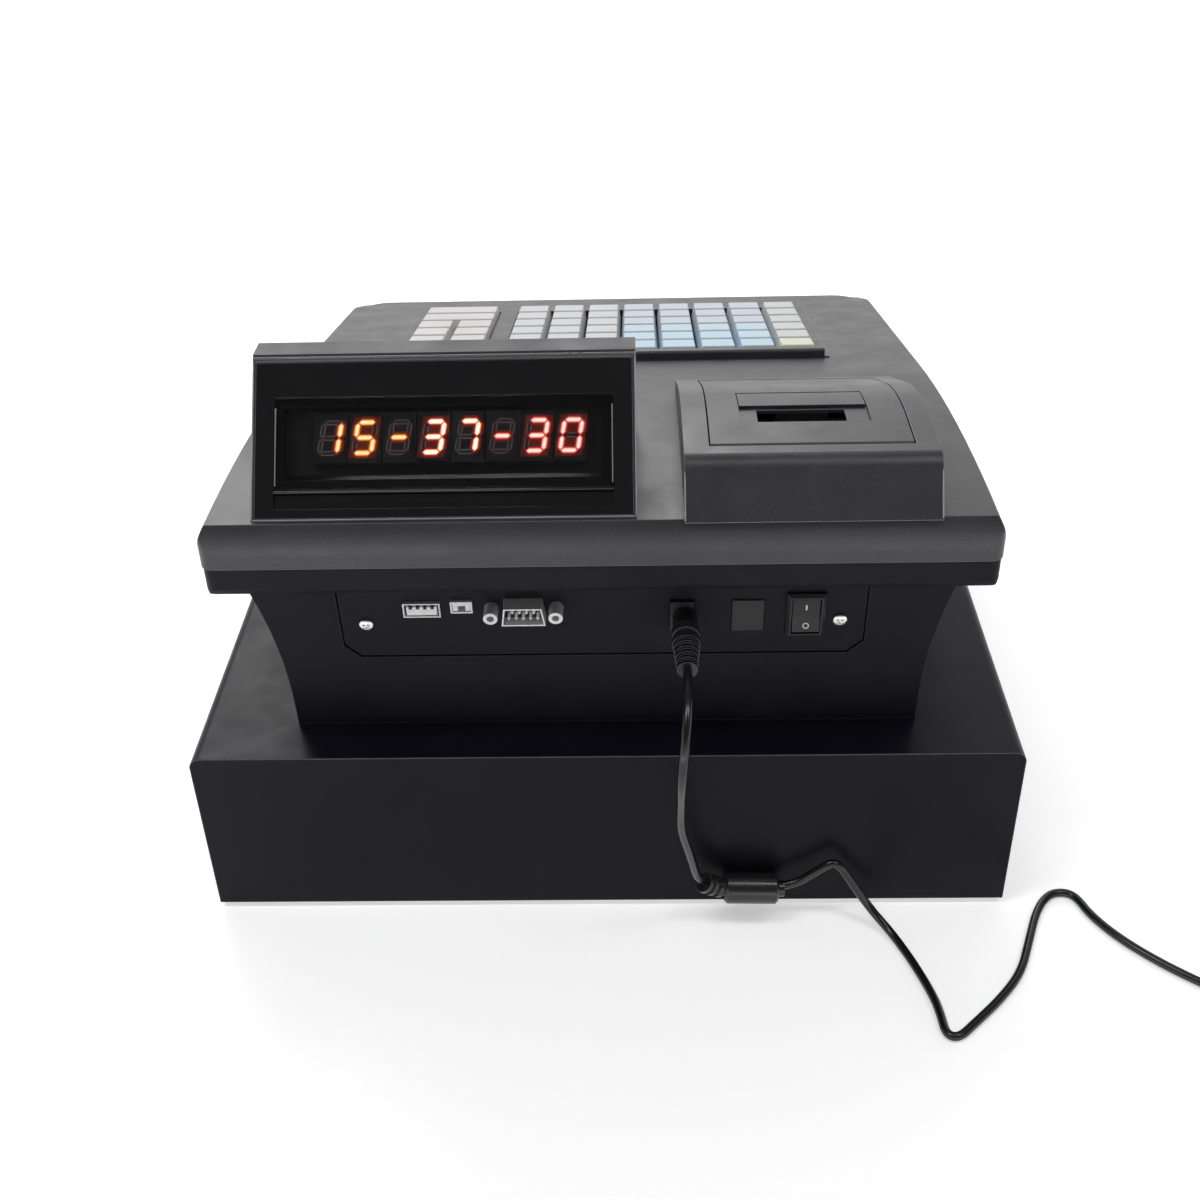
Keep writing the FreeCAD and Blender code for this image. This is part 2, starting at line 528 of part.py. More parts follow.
def lock():
    """The lock's housing, and the barrel with its cam."""
    at = ("0", FRONT_FACE, LOCK_Z)
    housing = Piece("lock_body", at)
    housing.pad("XZ", [ring("0", "0", "lock_flange_radius")], "lock_proud", "-lock_proud")
    housing.pad("XZ", [ring("0", "0", "lock_radius")], "lock_length")
    housing.cut("XZ", [ring("0", "0", "core_radius")], "lock_proud + lock_length + 2 * overrun",
                "-lock_proud - overrun")
    housing.soften("Chamfer", "lock_proud / 2", lambda e: at_level(e, "y", "-lock_proud")
                   and e.BoundBox.DiagonalLength > size("core_radius * 3"))
    keep("lock_body", housing)
    core = Piece("lock_barrel", at)
    core.pad("XZ", [ring("0", "0", "core_radius - core_gap")],
             "lock_proud + lock_length + cam_gap", "-lock_proud")
    core.pad("XZ", [box("-cam_width / 2", "-cam_width / 2", "cam_width / 2", "cam_length")],
             "cam_thick", "lock_length + cam_gap")
    core.cut("XZ", [box("-key_slot_width / 2", "-key_slot_height / 2", "key_slot_width / 2",
                        "key_slot_height / 2")], "key_slot_depth + overrun",
             "-lock_proud - overrun")
    keep("lock_barrel", core)


def till():
    """The moulded insert: bill bays at the back, a recess for the coin cups in front."""
    bay = f"((2 * {TILL_SIDE} - 5 * till_wall) / 4)"
    insert = Piece("till_insert")
    insert.pad("XY", [box(f"-{TILL_SIDE}", TILL_FRONT, TILL_SIDE, TILL_BACK)], "till_height",
               TILL_BASE)
    bays = []
    for number in range(4):
        left = f"(-{TILL_SIDE} + till_wall + {number} * ({bay} + till_wall))"
        bays.append(box(left, f"{COIN_BACK} + till_wall", f"{left} + {bay}",
                        f"{TILL_BACK} - till_wall"))
    insert.cut("XY", bays, "till_height - till_floor + overrun", f"{TILL_BASE} + till_floor")
    recess = box(f"-({TILL_SIDE} - till_wall)", f"{TILL_FRONT} + till_wall",
                 f"{TILL_SIDE} - till_wall", COIN_BACK)
    insert.cut("XY", [recess], "coin_depth + overrun", f"{TILL_TOP} - coin_depth")
    insert.cut("YZ", [ring(ROD_Y, ROD_Z, "rod_radius + rod_gap")],
               f"2 * {TILL_SIDE} - till_wall", both=True)
    keep("till_insert", insert)
    rod = Piece("clip_rod")
    rod.pad("YZ", [ring(ROD_Y, ROD_Z, "rod_radius")], f"2 * {TILL_SIDE} - 2 * till_wall",
            both=True)
    keep("clip_rod", rod)
    for number in range(4):
        middle = f"(-{TILL_SIDE} + till_wall + {number} * ({bay} + till_wall) + {bay} / 2)"
        bill_clip(f"bill_clip_{number + 1}", middle)
    coin_cups()


def bill_clip(name, middle):
    """A sprung clip: a sheet arm with a paddle, bent up at its tip, on a hub round the rod."""
    clip = Piece(name, (middle, ROD_Y, ROD_Z), "clip_slant")
    clip.pad("YZ", [ring("0", "0", "clip_hub_radius")], "clip_hub_width", both=True)
    low, high = "-clip_hub_radius", "(clip_sheet - clip_hub_radius)"
    arm = box("-clip_arm_length", low, "0", high)
    clip.pad("YZ", [arm], "clip_arm_width", both=True)
    tip = "-clip_arm_length"
    paddle = [
        (tip, low), (f"{tip} + clip_paddle_length", low), (f"{tip} + clip_paddle_length", high),
        (tip, high), (f"{tip} - clip_curl", f"{high} + clip_curl / 2"),
        (f"{tip} - clip_curl", f"{low} + clip_curl / 2"),
    ]
    clip.pad("YZ", [paddle], "clip_paddle_width", both=True)
    clip.cut("YZ", [ring("0", "0", "rod_radius + rod_gap")], "clip_hub_width + 2 * overrun",
             both=True)
    keep(name, clip)


def coin_cups():
    """The lift-out coin tray, its five cups scooped at both ends."""
    side = f"({TILL_SIDE} - till_wall - cup_gap)"
    front, back = f"({TILL_FRONT} + till_wall + cup_gap)", f"({COIN_BACK} - cup_gap)"
    base, width = f"({TILL_TOP} - coin_depth)", f"((2 * {side} - 6 * cup_wall) / 5)"
    cups = Piece("coin_cups")
    cups.pad("XY", [box(f"-{side}", front, side, back)], "coin_depth", base)
    low, high = f"({base} + cup_wall)", f"({TILL_TOP} + overrun)"
    scoop = [
        (f"{front} + cup_wall", f"{low} + cup_curve"),
        (f"{front} + cup_wall + cup_curve", low, "cup_curve", "ccw"),
        (f"{back} - cup_wall - cup_curve", low),
        (f"{back} - cup_wall", f"{low} + cup_curve", "cup_curve", "ccw"),
        (f"{back} - cup_wall", high), (f"{front} + cup_wall", high),
    ]
    for number in range(5):
        cups.cut("YZ", [scoop], width, f"-{side} + cup_wall + {number} * ({width} + cup_wall)")
    keep("coin_cups", cups)


def latch():
    """The solenoid latch on the case floor, shown released."""
    back = f"({CASE_BACK} - case_wall)"
    floor = "(foot_height + case_wall)"
    pivot_y, pivot_z = f"({back} - latch_back)", f"({floor} + latch_rise)"
    ear = "(hook_width / 2 + latch_ear_gap)"
    bracket = Piece("latch_bracket")
    plan = box("-latch_width / 2", f"{back} - latch_depth", "latch_width / 2", back)
    bracket.pad("XY", [plan], "latch_plate", floor)
    cheek = box(f"{pivot_y} - hook_radius", floor, f"{pivot_y} + hook_radius",
                f"{floor} + latch_ear_height")
    bracket.pad("YZ", [cheek], "latch_plate", ear)
    bracket.pad("YZ", [cheek], "latch_plate", f"-({ear} + latch_plate)")
    bracket.pad("YZ", [ring(pivot_y, pivot_z, "pin_radius")], f"2 * ({ear} + latch_plate)",
                both=True)
    keep("latch_bracket", bracket)
    hook = Piece("latch_hook", ("0", pivot_y, pivot_z))
    hook.pad("YZ", [ring("0", "0", "hook_radius")], "hook_width", both=True)
    lever = [
        ("0", "-hook_radius / 2"), ("0", "hook_radius / 2"),
        ("tooth_length - hook_length", "hook_radius / 2"),
        ("tooth_length - hook_length", "hook_radius / 2 + tooth_height"),
        ("-hook_length", "hook_radius / 2 + tooth_height"), ("-hook_length", "-hook_radius / 2"),
    ]
    hook.pad("YZ", [lever], "hook_width", both=True)
    hook.cut("YZ", [ring("0", "0", "pin_radius + rod_gap")], "hook_width + 2 * overrun",
             both=True)
    keep("latch_hook", hook)
    solenoid = Piece("latch_solenoid")
    base = f"({floor} + latch_plate)"
    middle = f"({back} - latch_depth / 2)"
    solenoid.pad("XY", [box("coil_offset - coil_width / 2", f"{middle} - coil_depth / 2",
                            "coil_offset + coil_width / 2", f"{middle} + coil_depth / 2")],
                 "coil_height", base)
    solenoid.pad("YZ", [ring(middle, f"{base} + coil_height / 2", "plunger_radius")],
                 "plunger_length", "coil_offset - coil_width / 2 - plunger_length")
    keep("latch_solenoid", solenoid)


def plan_prism(label, inset):
    """An upright prism with the register's rounded outline in plan."""
    half, front, back = f"(lip_half - {inset})", f"({inset} - front_reach)", f"(lip_back - {inset})"
    prism = Piece(label)
    return prism.pad("XY", [[
        (f"-({half} - front_corner)", front, "front_corner", "ccw"),
        (f"{half} - front_corner", front),
        (half, f"{front} + front_corner", "front_corner", "ccw"),
        (half, f"{back} - back_corner"),
        (f"{half} - back_corner", back, "back_corner", "ccw"),
        (f"-({half} - back_corner)", back),
        (f"-{half}", f"{back} - back_corner", "back_corner", "ccw"),
        (f"-{half}", f"{front} + front_corner"),
    ]], "deck_rise + lip_depth", CASE_TOP)


def side_prism():
    """A prism across the register with its outline from the side: nose, rolled back and lip."""
    front, under = "-front_reach", f"({DECK_Z} - lip_depth)"
    roll = "((lip_back - deck_back) ^ 2 + roll_drop ^ 2) / (2 * (lip_back - deck_back))"
    nose_y = "(nose_radius - front_reach)"
    nose_z = f"({FRONT_Z} + nose_radius * tan(slope) - nose_radius / cos(slope))"
    tangent = f"({nose_y} - nose_radius * sin(slope))"
    prism = Piece("side_prism")
    return prism.pad("YZ", [[
        (front, nose_z, "nose_radius", "ccw"), (front, CASE_TOP),
        ("lip_back - lip_corner", CASE_TOP), ("lip_back - lip_corner", under),
        ("lip_back", f"{under} + lip_corner", "lip_corner", "ccw"),
        ("lip_back", f"{DECK_Z} - roll_drop"), ("deck_back", DECK_Z, roll, "ccw"),
        ("deck_back", f"{DECK_Z} + lip_depth"), (tangent, f"{DECK_Z} + lip_depth"),
        (tangent, f"{nose_z} + nose_radius * cos(slope)"),
    ]], "2 * lip_half + 2 * lip_depth", both=True)


def flared(label, inset, base):
    """The pedestal's solid: flared at the sides, tilted at front and back."""
    half, radius = f"(base_half - {inset})", f"(flare_radius + {inset})"
    start, top = f"({CASE_TOP} + flare_start)", f"({CASE_TOP} + flare_top)"
    wide = f"({half} + {radius} - sqrt({radius} ^ 2 - (flare_top - flare_start) ^ 2))"
    cross = Piece(f"{label}_cross")
    cross.pad("XZ", [[
        (f"-{half}", base), (half, base), (half, start), (wide, top, radius, "cw"),
        (f"-{wide}", top), (f"-{half}", start, radius, "cw"),
    ]], "4 * lip_half", "-2 * lip_half")
    lean = "flare_top * tan(back_tilt)"
    side = Piece(f"{label}_side")
    side.pad("YZ", [[
        (f"{inset} - base_front", CASE_TOP), (f"base_back - {inset}", CASE_TOP),
        (f"base_back - {inset} + {lean}", top), (f"{inset} - base_front - {lean}", top),
    ]], "4 * lip_half", both=True)
    return join(label, "Common", cross, side)


def panel_outline(margin):
    """The rear panel's outline, grown by a margin."""
    half, low, high = f"(panel_half + {margin})", f"(panel_low - {margin})", f"(panel_high + {margin})"
    return [
        (f"-({half} - panel_chamfer)", low), (f"{half} - panel_chamfer", low),
        (half, f"{low} + panel_chamfer"), (half, high), (f"-{half}", high),
        (f"-{half}", f"{low} + panel_chamfer"),
    ]


def window(x, z, width, height, margin="0"):
    """A rectangle about a middle, grown by a margin."""
    wide, tall = f"(({width}) / 2 + {margin})", f"(({height}) / 2 + {margin})"
    return box(f"({x}) - {wide}", f"({z}) - {tall}", f"({x}) + {wide}", f"({z}) + {tall}")


def serial_outline(shrink):
    """The D shape of the serial socket, wide side down."""
    x, z = "serial_place", "serial_rise"
    low, high = f"(serial_wide / 2 - {shrink})", f"(serial_narrow / 2 - {shrink})"
    tall = f"(serial_height / 2 - {shrink})"
    return [
        (f"{x} - {low}", f"{z} - {tall}"), (f"{x} + {low}", f"{z} - {tall}"),
        (f"{x} + {high}", f"{z} + {tall}"), (f"{x} - {high}", f"{z} + {tall}"),
    ]


def posts(radius):
    return [ring(f"serial_place + ({s} * serial_post_place)", "serial_rise", radius)
            for s in (-1, 1)]


def screws(radius):
    return [ring(f"{s} * screw_place", "screw_rise", radius) for s in (-1, 1)]


# Keys: columns counted from +X, rows from the front.
def main_keys(row, width, depth):
    """The loops of one row of the main block."""
    y = f"({row} * key_pitch - key_front)"
    return [
        window(f"(key_columns - 1 - {column}) * key_pitch - main_right", y, width, depth)
        for column in range(SIZES["key_columns"])
    ]


def side_keys(rows, width, depth):
    return [
        window(f"pad_left - {column} * pad_pitch", f"{row} * key_pitch - key_front", width, depth)
        for row in rows for column in (0, 1)
    ]


def broad_keys(rows, width, depth):
    return [
        window("pad_left - pad_pitch / 2", f"{row} * key_pitch - key_front", width, depth)
        for row in rows
    ]


BEZEL_RIGHT = "(main_right + key_skirt / 2 + field_gap + bezel_side)"
BEZEL_LEFT = "(pad_left + pad_skirt / 2 + field_gap + bezel_side)"
BEZEL_FRONT = "(key_front + key_skirt / 2 + field_gap + bezel_side)"
BEZEL_BACK = "(key_front - 5 * key_pitch - key_skirt / 2 - field_gap - bezel_side)"


def keyboard():
    """The key frame with its stem plate and ridge, and the rows of keys."""
    frame = Piece("key_bezel", SLOPE_AT, "slope")
    rim = "rim_width"
    ridge_back = f"(ridge_depth - {BEZEL_BACK})"
    frame.pad("XY", [box(f"-({BEZEL_RIGHT} + {rim})", f"-({BEZEL_FRONT} + {rim})",
                         f"{BEZEL_LEFT} + {rim}", ridge_back)], "rim_height")
    frame.pad("XY", [box(f"-{BEZEL_RIGHT}", f"-{BEZEL_FRONT}", BEZEL_LEFT, f"-{BEZEL_BACK}")],
              "plate_drop + plate_thick + rim_height / 2", "-(plate_drop + plate_thick)")
    hump = [
        (f"-{BEZEL_BACK}", "0"), (ridge_back, "0"),
        (ridge_back, "ridge_height - ridge_round"),
        (f"{ridge_back} - ridge_round", "ridge_height", "ridge_round", "ccw"),
        (f"ridge_round - {BEZEL_BACK}", "ridge_height"),
        (f"-{BEZEL_BACK}", "ridge_height - ridge_round", "ridge_round", "ccw"),
    ]
    frame.pad("YZ", [hump], f"{BEZEL_RIGHT} + {BEZEL_LEFT}", f"-{BEZEL_RIGHT}")
    front, back = f"-({BEZEL_FRONT} - bezel_side)", f"-({BEZEL_BACK} + bezel_side)"
    wells = [
        box(f"-({BEZEL_RIGHT} - bezel_side)", front,
            "(key_columns - 1) * key_pitch - main_right + key_skirt / 2 + field_gap", back),
        box("pad_left - pad_pitch - pad_skirt / 2 - field_gap", front,
            f"{BEZEL_LEFT} - bezel_side", back),
    ]
    frame.cut("XY", wells, "plate_drop + ridge_height + overrun", "-plate_drop")
    wide, deep = "stem_width + 2 * stem_gap", "stem_depth + 2 * stem_gap"
    slots = [main_keys(row, wide, deep) for row in range(SIZES["key_rows"])]
    slots += [broad_keys((0, 1), wide, deep), side_keys((2, 3, 4, 5), wide, deep)]
    for group in slots:
        frame.cut("XY", group, "plate_thick + 2 * overrun",
                  "-(plate_drop + plate_thick + overrun)")
    keep("key_bezel", frame)

    def keys(name, caps, stems):
        piece = Piece(name, SLOPE_AT, "slope")
        slant = "atan((key_skirt - key_taper) / (2 * (key_drop + key_proud))) / 1 deg"
        piece.pad("XY", caps, "key_drop + key_proud", "-key_drop", taper=slant)
        piece.soften("Chamfer", "key_break", lambda e: at_level(e, "z", "key_proud"))
        piece.pad("XY", stems, "stem_length", "-(key_drop + stem_length)")
        keep(name, piece)

    for row in range(SIZES["key_rows"]):
        keys(f"key_row_{row + 1}", main_keys(row, "key_skirt", "key_skirt"),
             main_keys(row, "stem_width", "stem_depth"))
    keys("wide_keys", broad_keys((0, 1), "pad_pitch + pad_skirt", "key_skirt"),
         broad_keys((0, 1), "stem_width", "stem_depth"))
    keys("pad_keys", side_keys((2, 3, 4, 5), "pad_skirt", "key_skirt"),
         side_keys((2, 3, 4, 5), "stem_width", "stem_depth"))


# The printer's hood: flat at the back of its top, then an arc and a slope down to the keys.
PRINTER_TOP = "(foot_height + case_height + printer_top)"
ROLL_Z = "(foot_height + case_height + bay_rise - bay_radius + roll_radius + roll_gap)"


def arc_z(y, inset):
    """The height of the hood's arc at a place, inset by a wall."""
    return (f"({PRINTER_TOP} - printer_bend + sqrt((printer_bend - {inset}) ^ 2"
            f" - (printer_crown_front - ({y})) ^ 2))")


def slope_z(y, inset):
    """The height of the hood's straight slope at a place, inset by a wall."""
    end_y = f"(printer_crown_front - (printer_bend - {inset}) * sin(printer_slope))"
    end_z = f"({PRINTER_TOP} - printer_bend + (printer_bend - {inset}) * cos(printer_slope))"
    return f"({end_z} - ({end_y} - ({y})) * tan(printer_slope))"


def hood_outline(inset):
    back, base = f"(printer_back - 1.2 * {inset})", f"({DECK_Z} - printer_sink)"
    shoulder = f"({CASE_TOP} + printer_shoulder - 0.5 * {inset})"
    bend_y = f"(printer_crown_front - (printer_bend - {inset}) * sin(printer_slope))"
    toe = f"(printer_toe + {inset})"
    return [
        (back, base), (back, DECK_Z), (f"printer_shoulder_back - 1.2 * {inset}", shoulder),
        (f"printer_crown_back - 0.5 * {inset}", f"{PRINTER_TOP} - {inset}", "shoulder_radius",
         "ccw"),
        ("printer_crown_front", f"{PRINTER_TOP} - {inset}"),
        (bend_y, slope_z(bend_y, inset), f"printer_bend - {inset}", "ccw"),
        (toe, slope_z(toe, inset)), (toe, base),
    ]


def printer(under_deck):
    """The hood, its lid with flap and platen, and the tub with head and roll."""
    middle = "(-(latch_left + latch_right) / 2)"
    outer = Piece("printer_outer")
    outer.pad("YZ", [hood_outline("0")], "printer_right - printer_left", "-printer_right")
    inner = Piece("printer_inner")
    inner.pad("YZ", [hood_outline("printer_wall")], "printer_right - printer_left"
              " - 2 * printer_wall", "printer_wall - printer_right")
    mouth = Piece("printer_mouth")
    mouth.pad("XY", [box("-(lid_right + lid_gap)", "lid_front - lid_slot",
                         "-(lid_left - lid_gap)", "lid_back + lid_back_gap")],
              "deck_rise", DECK_Z)
    low_mouth = Piece("printer_low_mouth")
    low_mouth.pad("XY", [box("-(lid_right + lid_gap)", "lid_front - lid_slot",
                             "-(lid_left - lid_gap)", "platen_place + platen_radius")],
                  "printer_sink", f"{DECK_Z} - printer_sink")
    keep("printer_hood", join("printer_hood", "Cut", outer, under_deck, inner, mouth, low_mouth))

    lid = Piece("printer_lid")
    top, thick = PRINTER_TOP, "lid_thick"
    bend_y = "(printer_crown_front - printer_bend * sin(printer_slope))"
    low_y = f"(printer_crown_front - (printer_bend - {thick}) * sin(printer_slope))"
    lid.pad("YZ", [[
        (f"lid_back - {thick} / 2", f"{top} - {thick}"),
        ("lid_back", f"{top} - {thick} / 2", f"{thick} / 2", "ccw"),
        (f"lid_back - {thick} / 2", top, f"{thick} / 2", "ccw"), ("printer_crown_front", top),
        (bend_y, slope_z(bend_y, "0"), "printer_bend", "ccw"),
        ("lid_front", slope_z("lid_front", "0")), ("lid_front", slope_z("lid_front", thick)),
        (low_y, slope_z(low_y, thick)),
        ("printer_crown_front", f"{top} - {thick}", f"printer_bend - {thick}", "cw"),
    ]], "lid_right - lid_left", "-lid_right")
    ears = "(platen_length / 2 + fit_gap)"
    cheek = [
        ("platen_place - ear_radius", f"{CASE_TOP} + platen_rise"),
        ("platen_place + ear_radius", f"{CASE_TOP} + platen_rise"),
        ("platen_place + ear_radius", slope_z("platen_place + ear_radius", f"{thick} / 2")),
        ("platen_place - ear_radius", slope_z("platen_place - ear_radius", f"{thick} / 2")),
    ]
    for start in (f"{middle} + {ears}", f"{middle} - {ears} - ear_thick"):
        lid.pad("YZ", [cheek], "ear_thick", start)
        lid.pad("YZ", [ring("platen_place", f"{CASE_TOP} + platen_rise", "ear_radius")],
                "ear_thick", start)
    lid.cut("YZ", [ring("platen_place", f"{CASE_TOP} + platen_rise",
                        "platen_shaft + rod_gap")], "platen_length + 2 * ear_thick"
            " + 2 * overrun", f"{middle} - {ears} - ear_thick - overrun")
    tall = f"({top} + overrun)"

    def sunk(front, back, inset, roof):
        """A band under the hood's arc between two places."""
        return [
            (front, roof), (front, arc_z(front, inset)),
            (back, arc_z(back, inset), f"printer_bend - {inset}", "cw"), (back, roof),
        ]
    lid.cut("YZ", [sunk("flap_front", "slot_end", "recess_depth", tall)],
            "latch_right - latch_left", "-latch_right")
    lid.cut("XY", [box("-slot_right", "slot_front", "-slot_left", "slot_end")], "deck_rise",
            DECK_Z)
    hook_back = "(flap_back - flap_gap)"
    lid.cut("XY", [box(f"{middle} - flap_hook_width / 2 - flap_gap",
                       f"{hook_back} - 2 * printer_wall - flap_gap",
                       f"{middle} + flap_hook_width / 2 + flap_gap", f"{hook_back} + 2 * flap_gap")],
            "deck_rise", DECK_Z)
    keep("printer_lid", lid)

    flap = Piece("lid_latch")
    half = "(flap_lift / 2)"
    turn_y = f"(flap_front + flap_gap + {half})"
    turn_z = arc_z(turn_y, half)
    lean = f"asin((printer_crown_front - {turn_y}) / (printer_bend - {half}))"
    flap.pad("YZ", [[
        (f"{turn_y} + {half} * sin({lean})", f"{turn_z} - {half} * cos({lean})", half, "ccw"),
        (hook_back, arc_z(hook_back, "flap_lift"), "printer_bend - flap_lift", "cw"),
        (hook_back, arc_z(hook_back, "0")),
        (f"{turn_y} - {half} * sin({lean})", f"{turn_z} + {half} * cos({lean})",
         "printer_bend", "ccw"),
        (f"{turn_y} - {half} * cos({lean})", f"{turn_z} - {half} * sin({lean})", half, "ccw"),
    ]], "latch_right - latch_left - 2 * flap_gap", "flap_gap - latch_right")
    flap.pad("YZ", [[
        (f"{hook_back} - printer_wall", f"{arc_z(hook_back, 'lid_thick')} - flap_hook"),
        (hook_back, f"{arc_z(hook_back, 'lid_thick')} - flap_hook"),
        (hook_back, arc_z(hook_back, "recess_depth / 2")),
        (f"{hook_back} - printer_wall", arc_z(f"{hook_back} - printer_wall", "recess_depth / 2")),
    ]], "flap_hook_width", f"{middle} - flap_hook_width / 2")
    keep("lid_latch", flap)

    roller = Piece("platen_roller", (middle, "platen_place", f"{CASE_TOP} + platen_rise"))
    roller.pad("YZ", [ring("0", "0", "platen_radius")], "platen_length", both=True)
    roller.pad("YZ", [ring("0", "0", "platen_shaft")], "platen_shaft_length", both=True)
    keep("platen_roller", roller)

    head_base = f"({CASE_TOP} + platen_rise - platen_radius - head_gap - head_height)"
    head = Piece("print_head")
    head.pad("XY", [window(middle, "platen_place", "head_width", "head_depth")],
             "head_height", head_base)
    keep("print_head", head)

    rim_top = swept("tub_sweep", deck_box("lip_half", "-tub_rim", "tub_depth"), FORWARD,
                    BACK_OUTER)
    rim_low = swept("rim_sweep", deck_box("lip_half", "-tub_rim", "0"), FORWARD, BACK_OUTER)
    brim = Piece("tub_brim")
    brim.pad("XY", [box("-(tub_right + tub_flange)", "tub_front - tub_flange",
                        "tub_flange - tub_left", "tub_back + tub_flange")], "deck_rise + lip_depth",
             CASE_TOP)
    bucket = Piece("tub_bucket")
    bucket.pad("XY", [box("-tub_right", "tub_front", "-tub_left", "tub_back")],
               "deck_rise + lip_depth - bay_rise + bay_radius + tub_wall",
               f"{CASE_TOP} + bay_rise - bay_radius - tub_wall")
    pocket = Piece("tub_pocket")
    bay_z = f"({CASE_TOP} + bay_rise)"
    step = f"(roll_place - sqrt(bay_radius ^ 2 - ({bay_z} - {head_base}) ^ 2))"
    front = "(tub_front + tub_wall)"
    pocket.pad("YZ", [[
        (front, head_base), (step, head_base),
        ("roll_place", f"{bay_z} - bay_radius", "bay_radius", "ccw"),
        ("roll_place + bay_radius", bay_z, "bay_radius", "ccw"),
        ("roll_place + bay_radius", f"{DECK_Z} + lip_depth"), (front, f"{DECK_Z} + lip_depth"),
    ]], "tub_right - tub_left - 2 * tub_wall", "tub_wall - tub_right")
    shell = join("tub_shell", "Fuse", join("tub_rim_ring", "Common", rim_low, brim),
                 join("tub_body", "Common", rim_top, bucket))
    keep("printer_frame", join("printer_frame", "Cut", shell, pocket))

    roll = Piece("paper_roll", (middle, "roll_place", ROLL_Z))
    roll.pad("YZ", [ring("0", "0", "roll_radius"), ring("0", "0", "roll_core")], "roll_width",
             both=True)
    keep("paper_roll", roll)


# The display's hood: its face leans back, and its other side slopes down to the keys.
HOOD_TOP = f"({DECK_Z} + hood_face * cos(hood_tilt))"
FACE_AT = ("0", "hood_back", DECK_Z)
FACE_WIDTH = "(hood_left + hood_right)"
FACE_X = "((hood_left - hood_right) / 2)"


def face_y(z, inset):
    return f"(hood_back - ({inset}) / cos(hood_tilt) - (({z}) - {DECK_Z}) * tan(hood_tilt))"


def front_y(z, inset):
    crest = "hood_back - hood_face * sin(hood_tilt) - hood_top"
    fall = f"({HOOD_TOP} - ({z})) * tan(hood_front_tilt)"
    return f"({crest} - {fall} + ({inset}) / cos(hood_front_tilt))"


def display(under_deck):
    """The hood, the glossy face with its window, the digits, and the operator's window."""
    base = f"({DECK_Z} - printer_sink)"
    outer = Piece("hood_outer")
    outer.pad("YZ", [[
        ("hood_back", base), ("hood_back", DECK_Z), (face_y(HOOD_TOP, "0"), HOOD_TOP),
        (front_y(HOOD_TOP, "0"), HOOD_TOP), (front_y(base, "0"), base),
    ]], FACE_WIDTH, "-hood_right")
    inner = Piece("hood_inner")
    roof = f"({HOOD_TOP} - hood_wall)"
    inner.pad("YZ", [[
        (face_y(base, "bezel_thick"), base), (face_y(roof, "bezel_thick"), roof),
        (front_y(roof, "hood_wall"), roof), (front_y(base, "hood_wall"), base),
    ]], f"{FACE_WIDTH} - 2 * (face_side + face_ledge)", "face_side + face_ledge - hood_right")
    seat = Piece("face_seat", FACE_AT, "hood_tilt")
    seat.pad("XZ", [box("face_side - hood_right", "face_low", "hood_left - face_side",
                        "hood_face - face_high")], "bezel_thick + overrun", "-bezel_thick")
    operator_at = ("0", front_y(HOOD_TOP, "0"), HOOD_TOP)
    lcd_middle = "(-lcd_drop - lcd_height / 2)"
    lcd_seat = Piece("lcd_seat_tool", operator_at, "-hood_front_tilt")
    lcd_seat.pad("XZ", [window(FACE_X, lcd_middle, "lcd_width", "lcd_height", "lens_gap")],
                 "lcd_seat + overrun", "-overrun")
    lcd_seat.pad("XZ", [window(FACE_X, lcd_middle, "lcd_width", "lcd_height", "-lcd_rim")],
                 "hood_wall + 2 * overrun", "-overrun")
    keep("display_hood", join("display_hood", "Cut", outer, under_deck, inner, seat, lcd_seat))

    lcd = Piece("operator_lens", operator_at, "-hood_front_tilt")
    lcd.pad("XZ", [window(FACE_X, lcd_middle, "lcd_width", "lcd_height")], "lcd_thick",
            "lcd_seat - lcd_thick")
    keep("operator_lens", lcd)

    glass = ("window_side - hood_right", "hood_left - window_side")
    bezel = Piece("bezel_plate", FACE_AT, "hood_tilt")
    bezel.pad("XZ", [box("face_side + fit_gap - hood_right", "face_low + fit_gap",
                         "hood_left - face_side - fit_gap", "hood_face - face_high - fit_gap")],
              "bezel_thick", "-bezel_thick")
    bezel.cut("XZ", [box(glass[0], "window_low", glass[1], "hood_face - window_high")],
              "window_depth + overrun", "-window_depth")
    bezel.cut("XZ", [box(f"{glass[0]} + lens_rim", "lens_low + lens_rim",
                         f"{glass[1]} - lens_rim", "hood_face - window_high - lens_rim")],
              "bezel_thick + 2 * overrun", "-bezel_thick - overrun")
    bezel.pad("XZ", [ring(x, f"digit_rise + {side} * (digit_height + lens_rim) / 2", "lens_rim / 2")
                     for x in (f"{glass[0]} + lens_rim / 2", f"{glass[1]} - lens_rim / 2")
                     for side in (-1, 1)],
              "digit_gap + digit_depth + (window_depth - bezel_thick) / 2",
              "-(window_depth + digit_gap + digit_depth)")
    keep("display_bezel", join("display_bezel", "Cut", bezel, under_deck))

    lens = Piece("customer_lens", FACE_AT, "hood_tilt")
    lens.pad("XZ", [box(f"{glass[0]} + fit_gap", "lens_low", f"{glass[1]} - fit_gap",
                        "hood_face - window_high - fit_gap")], "lens_thick", "-window_depth")
    keep("customer_lens", lens)

    digits = Piece("digit_board", FACE_AT, "hood_tilt")
    back = "-(window_depth + digit_gap + digit_depth)"
    digits.pad("XZ", [box(glass[0], "digit_rise - digit_height / 2 - lens_rim", glass[1],
                          "digit_rise + digit_height / 2 + lens_rim")],
               "digit_board", f"{back} - digit_board")
    modules = [
        window(f"digit_place + ({number} - (digit_count - 1) / 2) * digit_pitch", "digit_rise",
               "digit_width", "digit_height") for number in range(SIZES["digit_count"])
    ]
    digits.pad("XZ", modules, "digit_depth", back)
    keep("digit_board", digits)


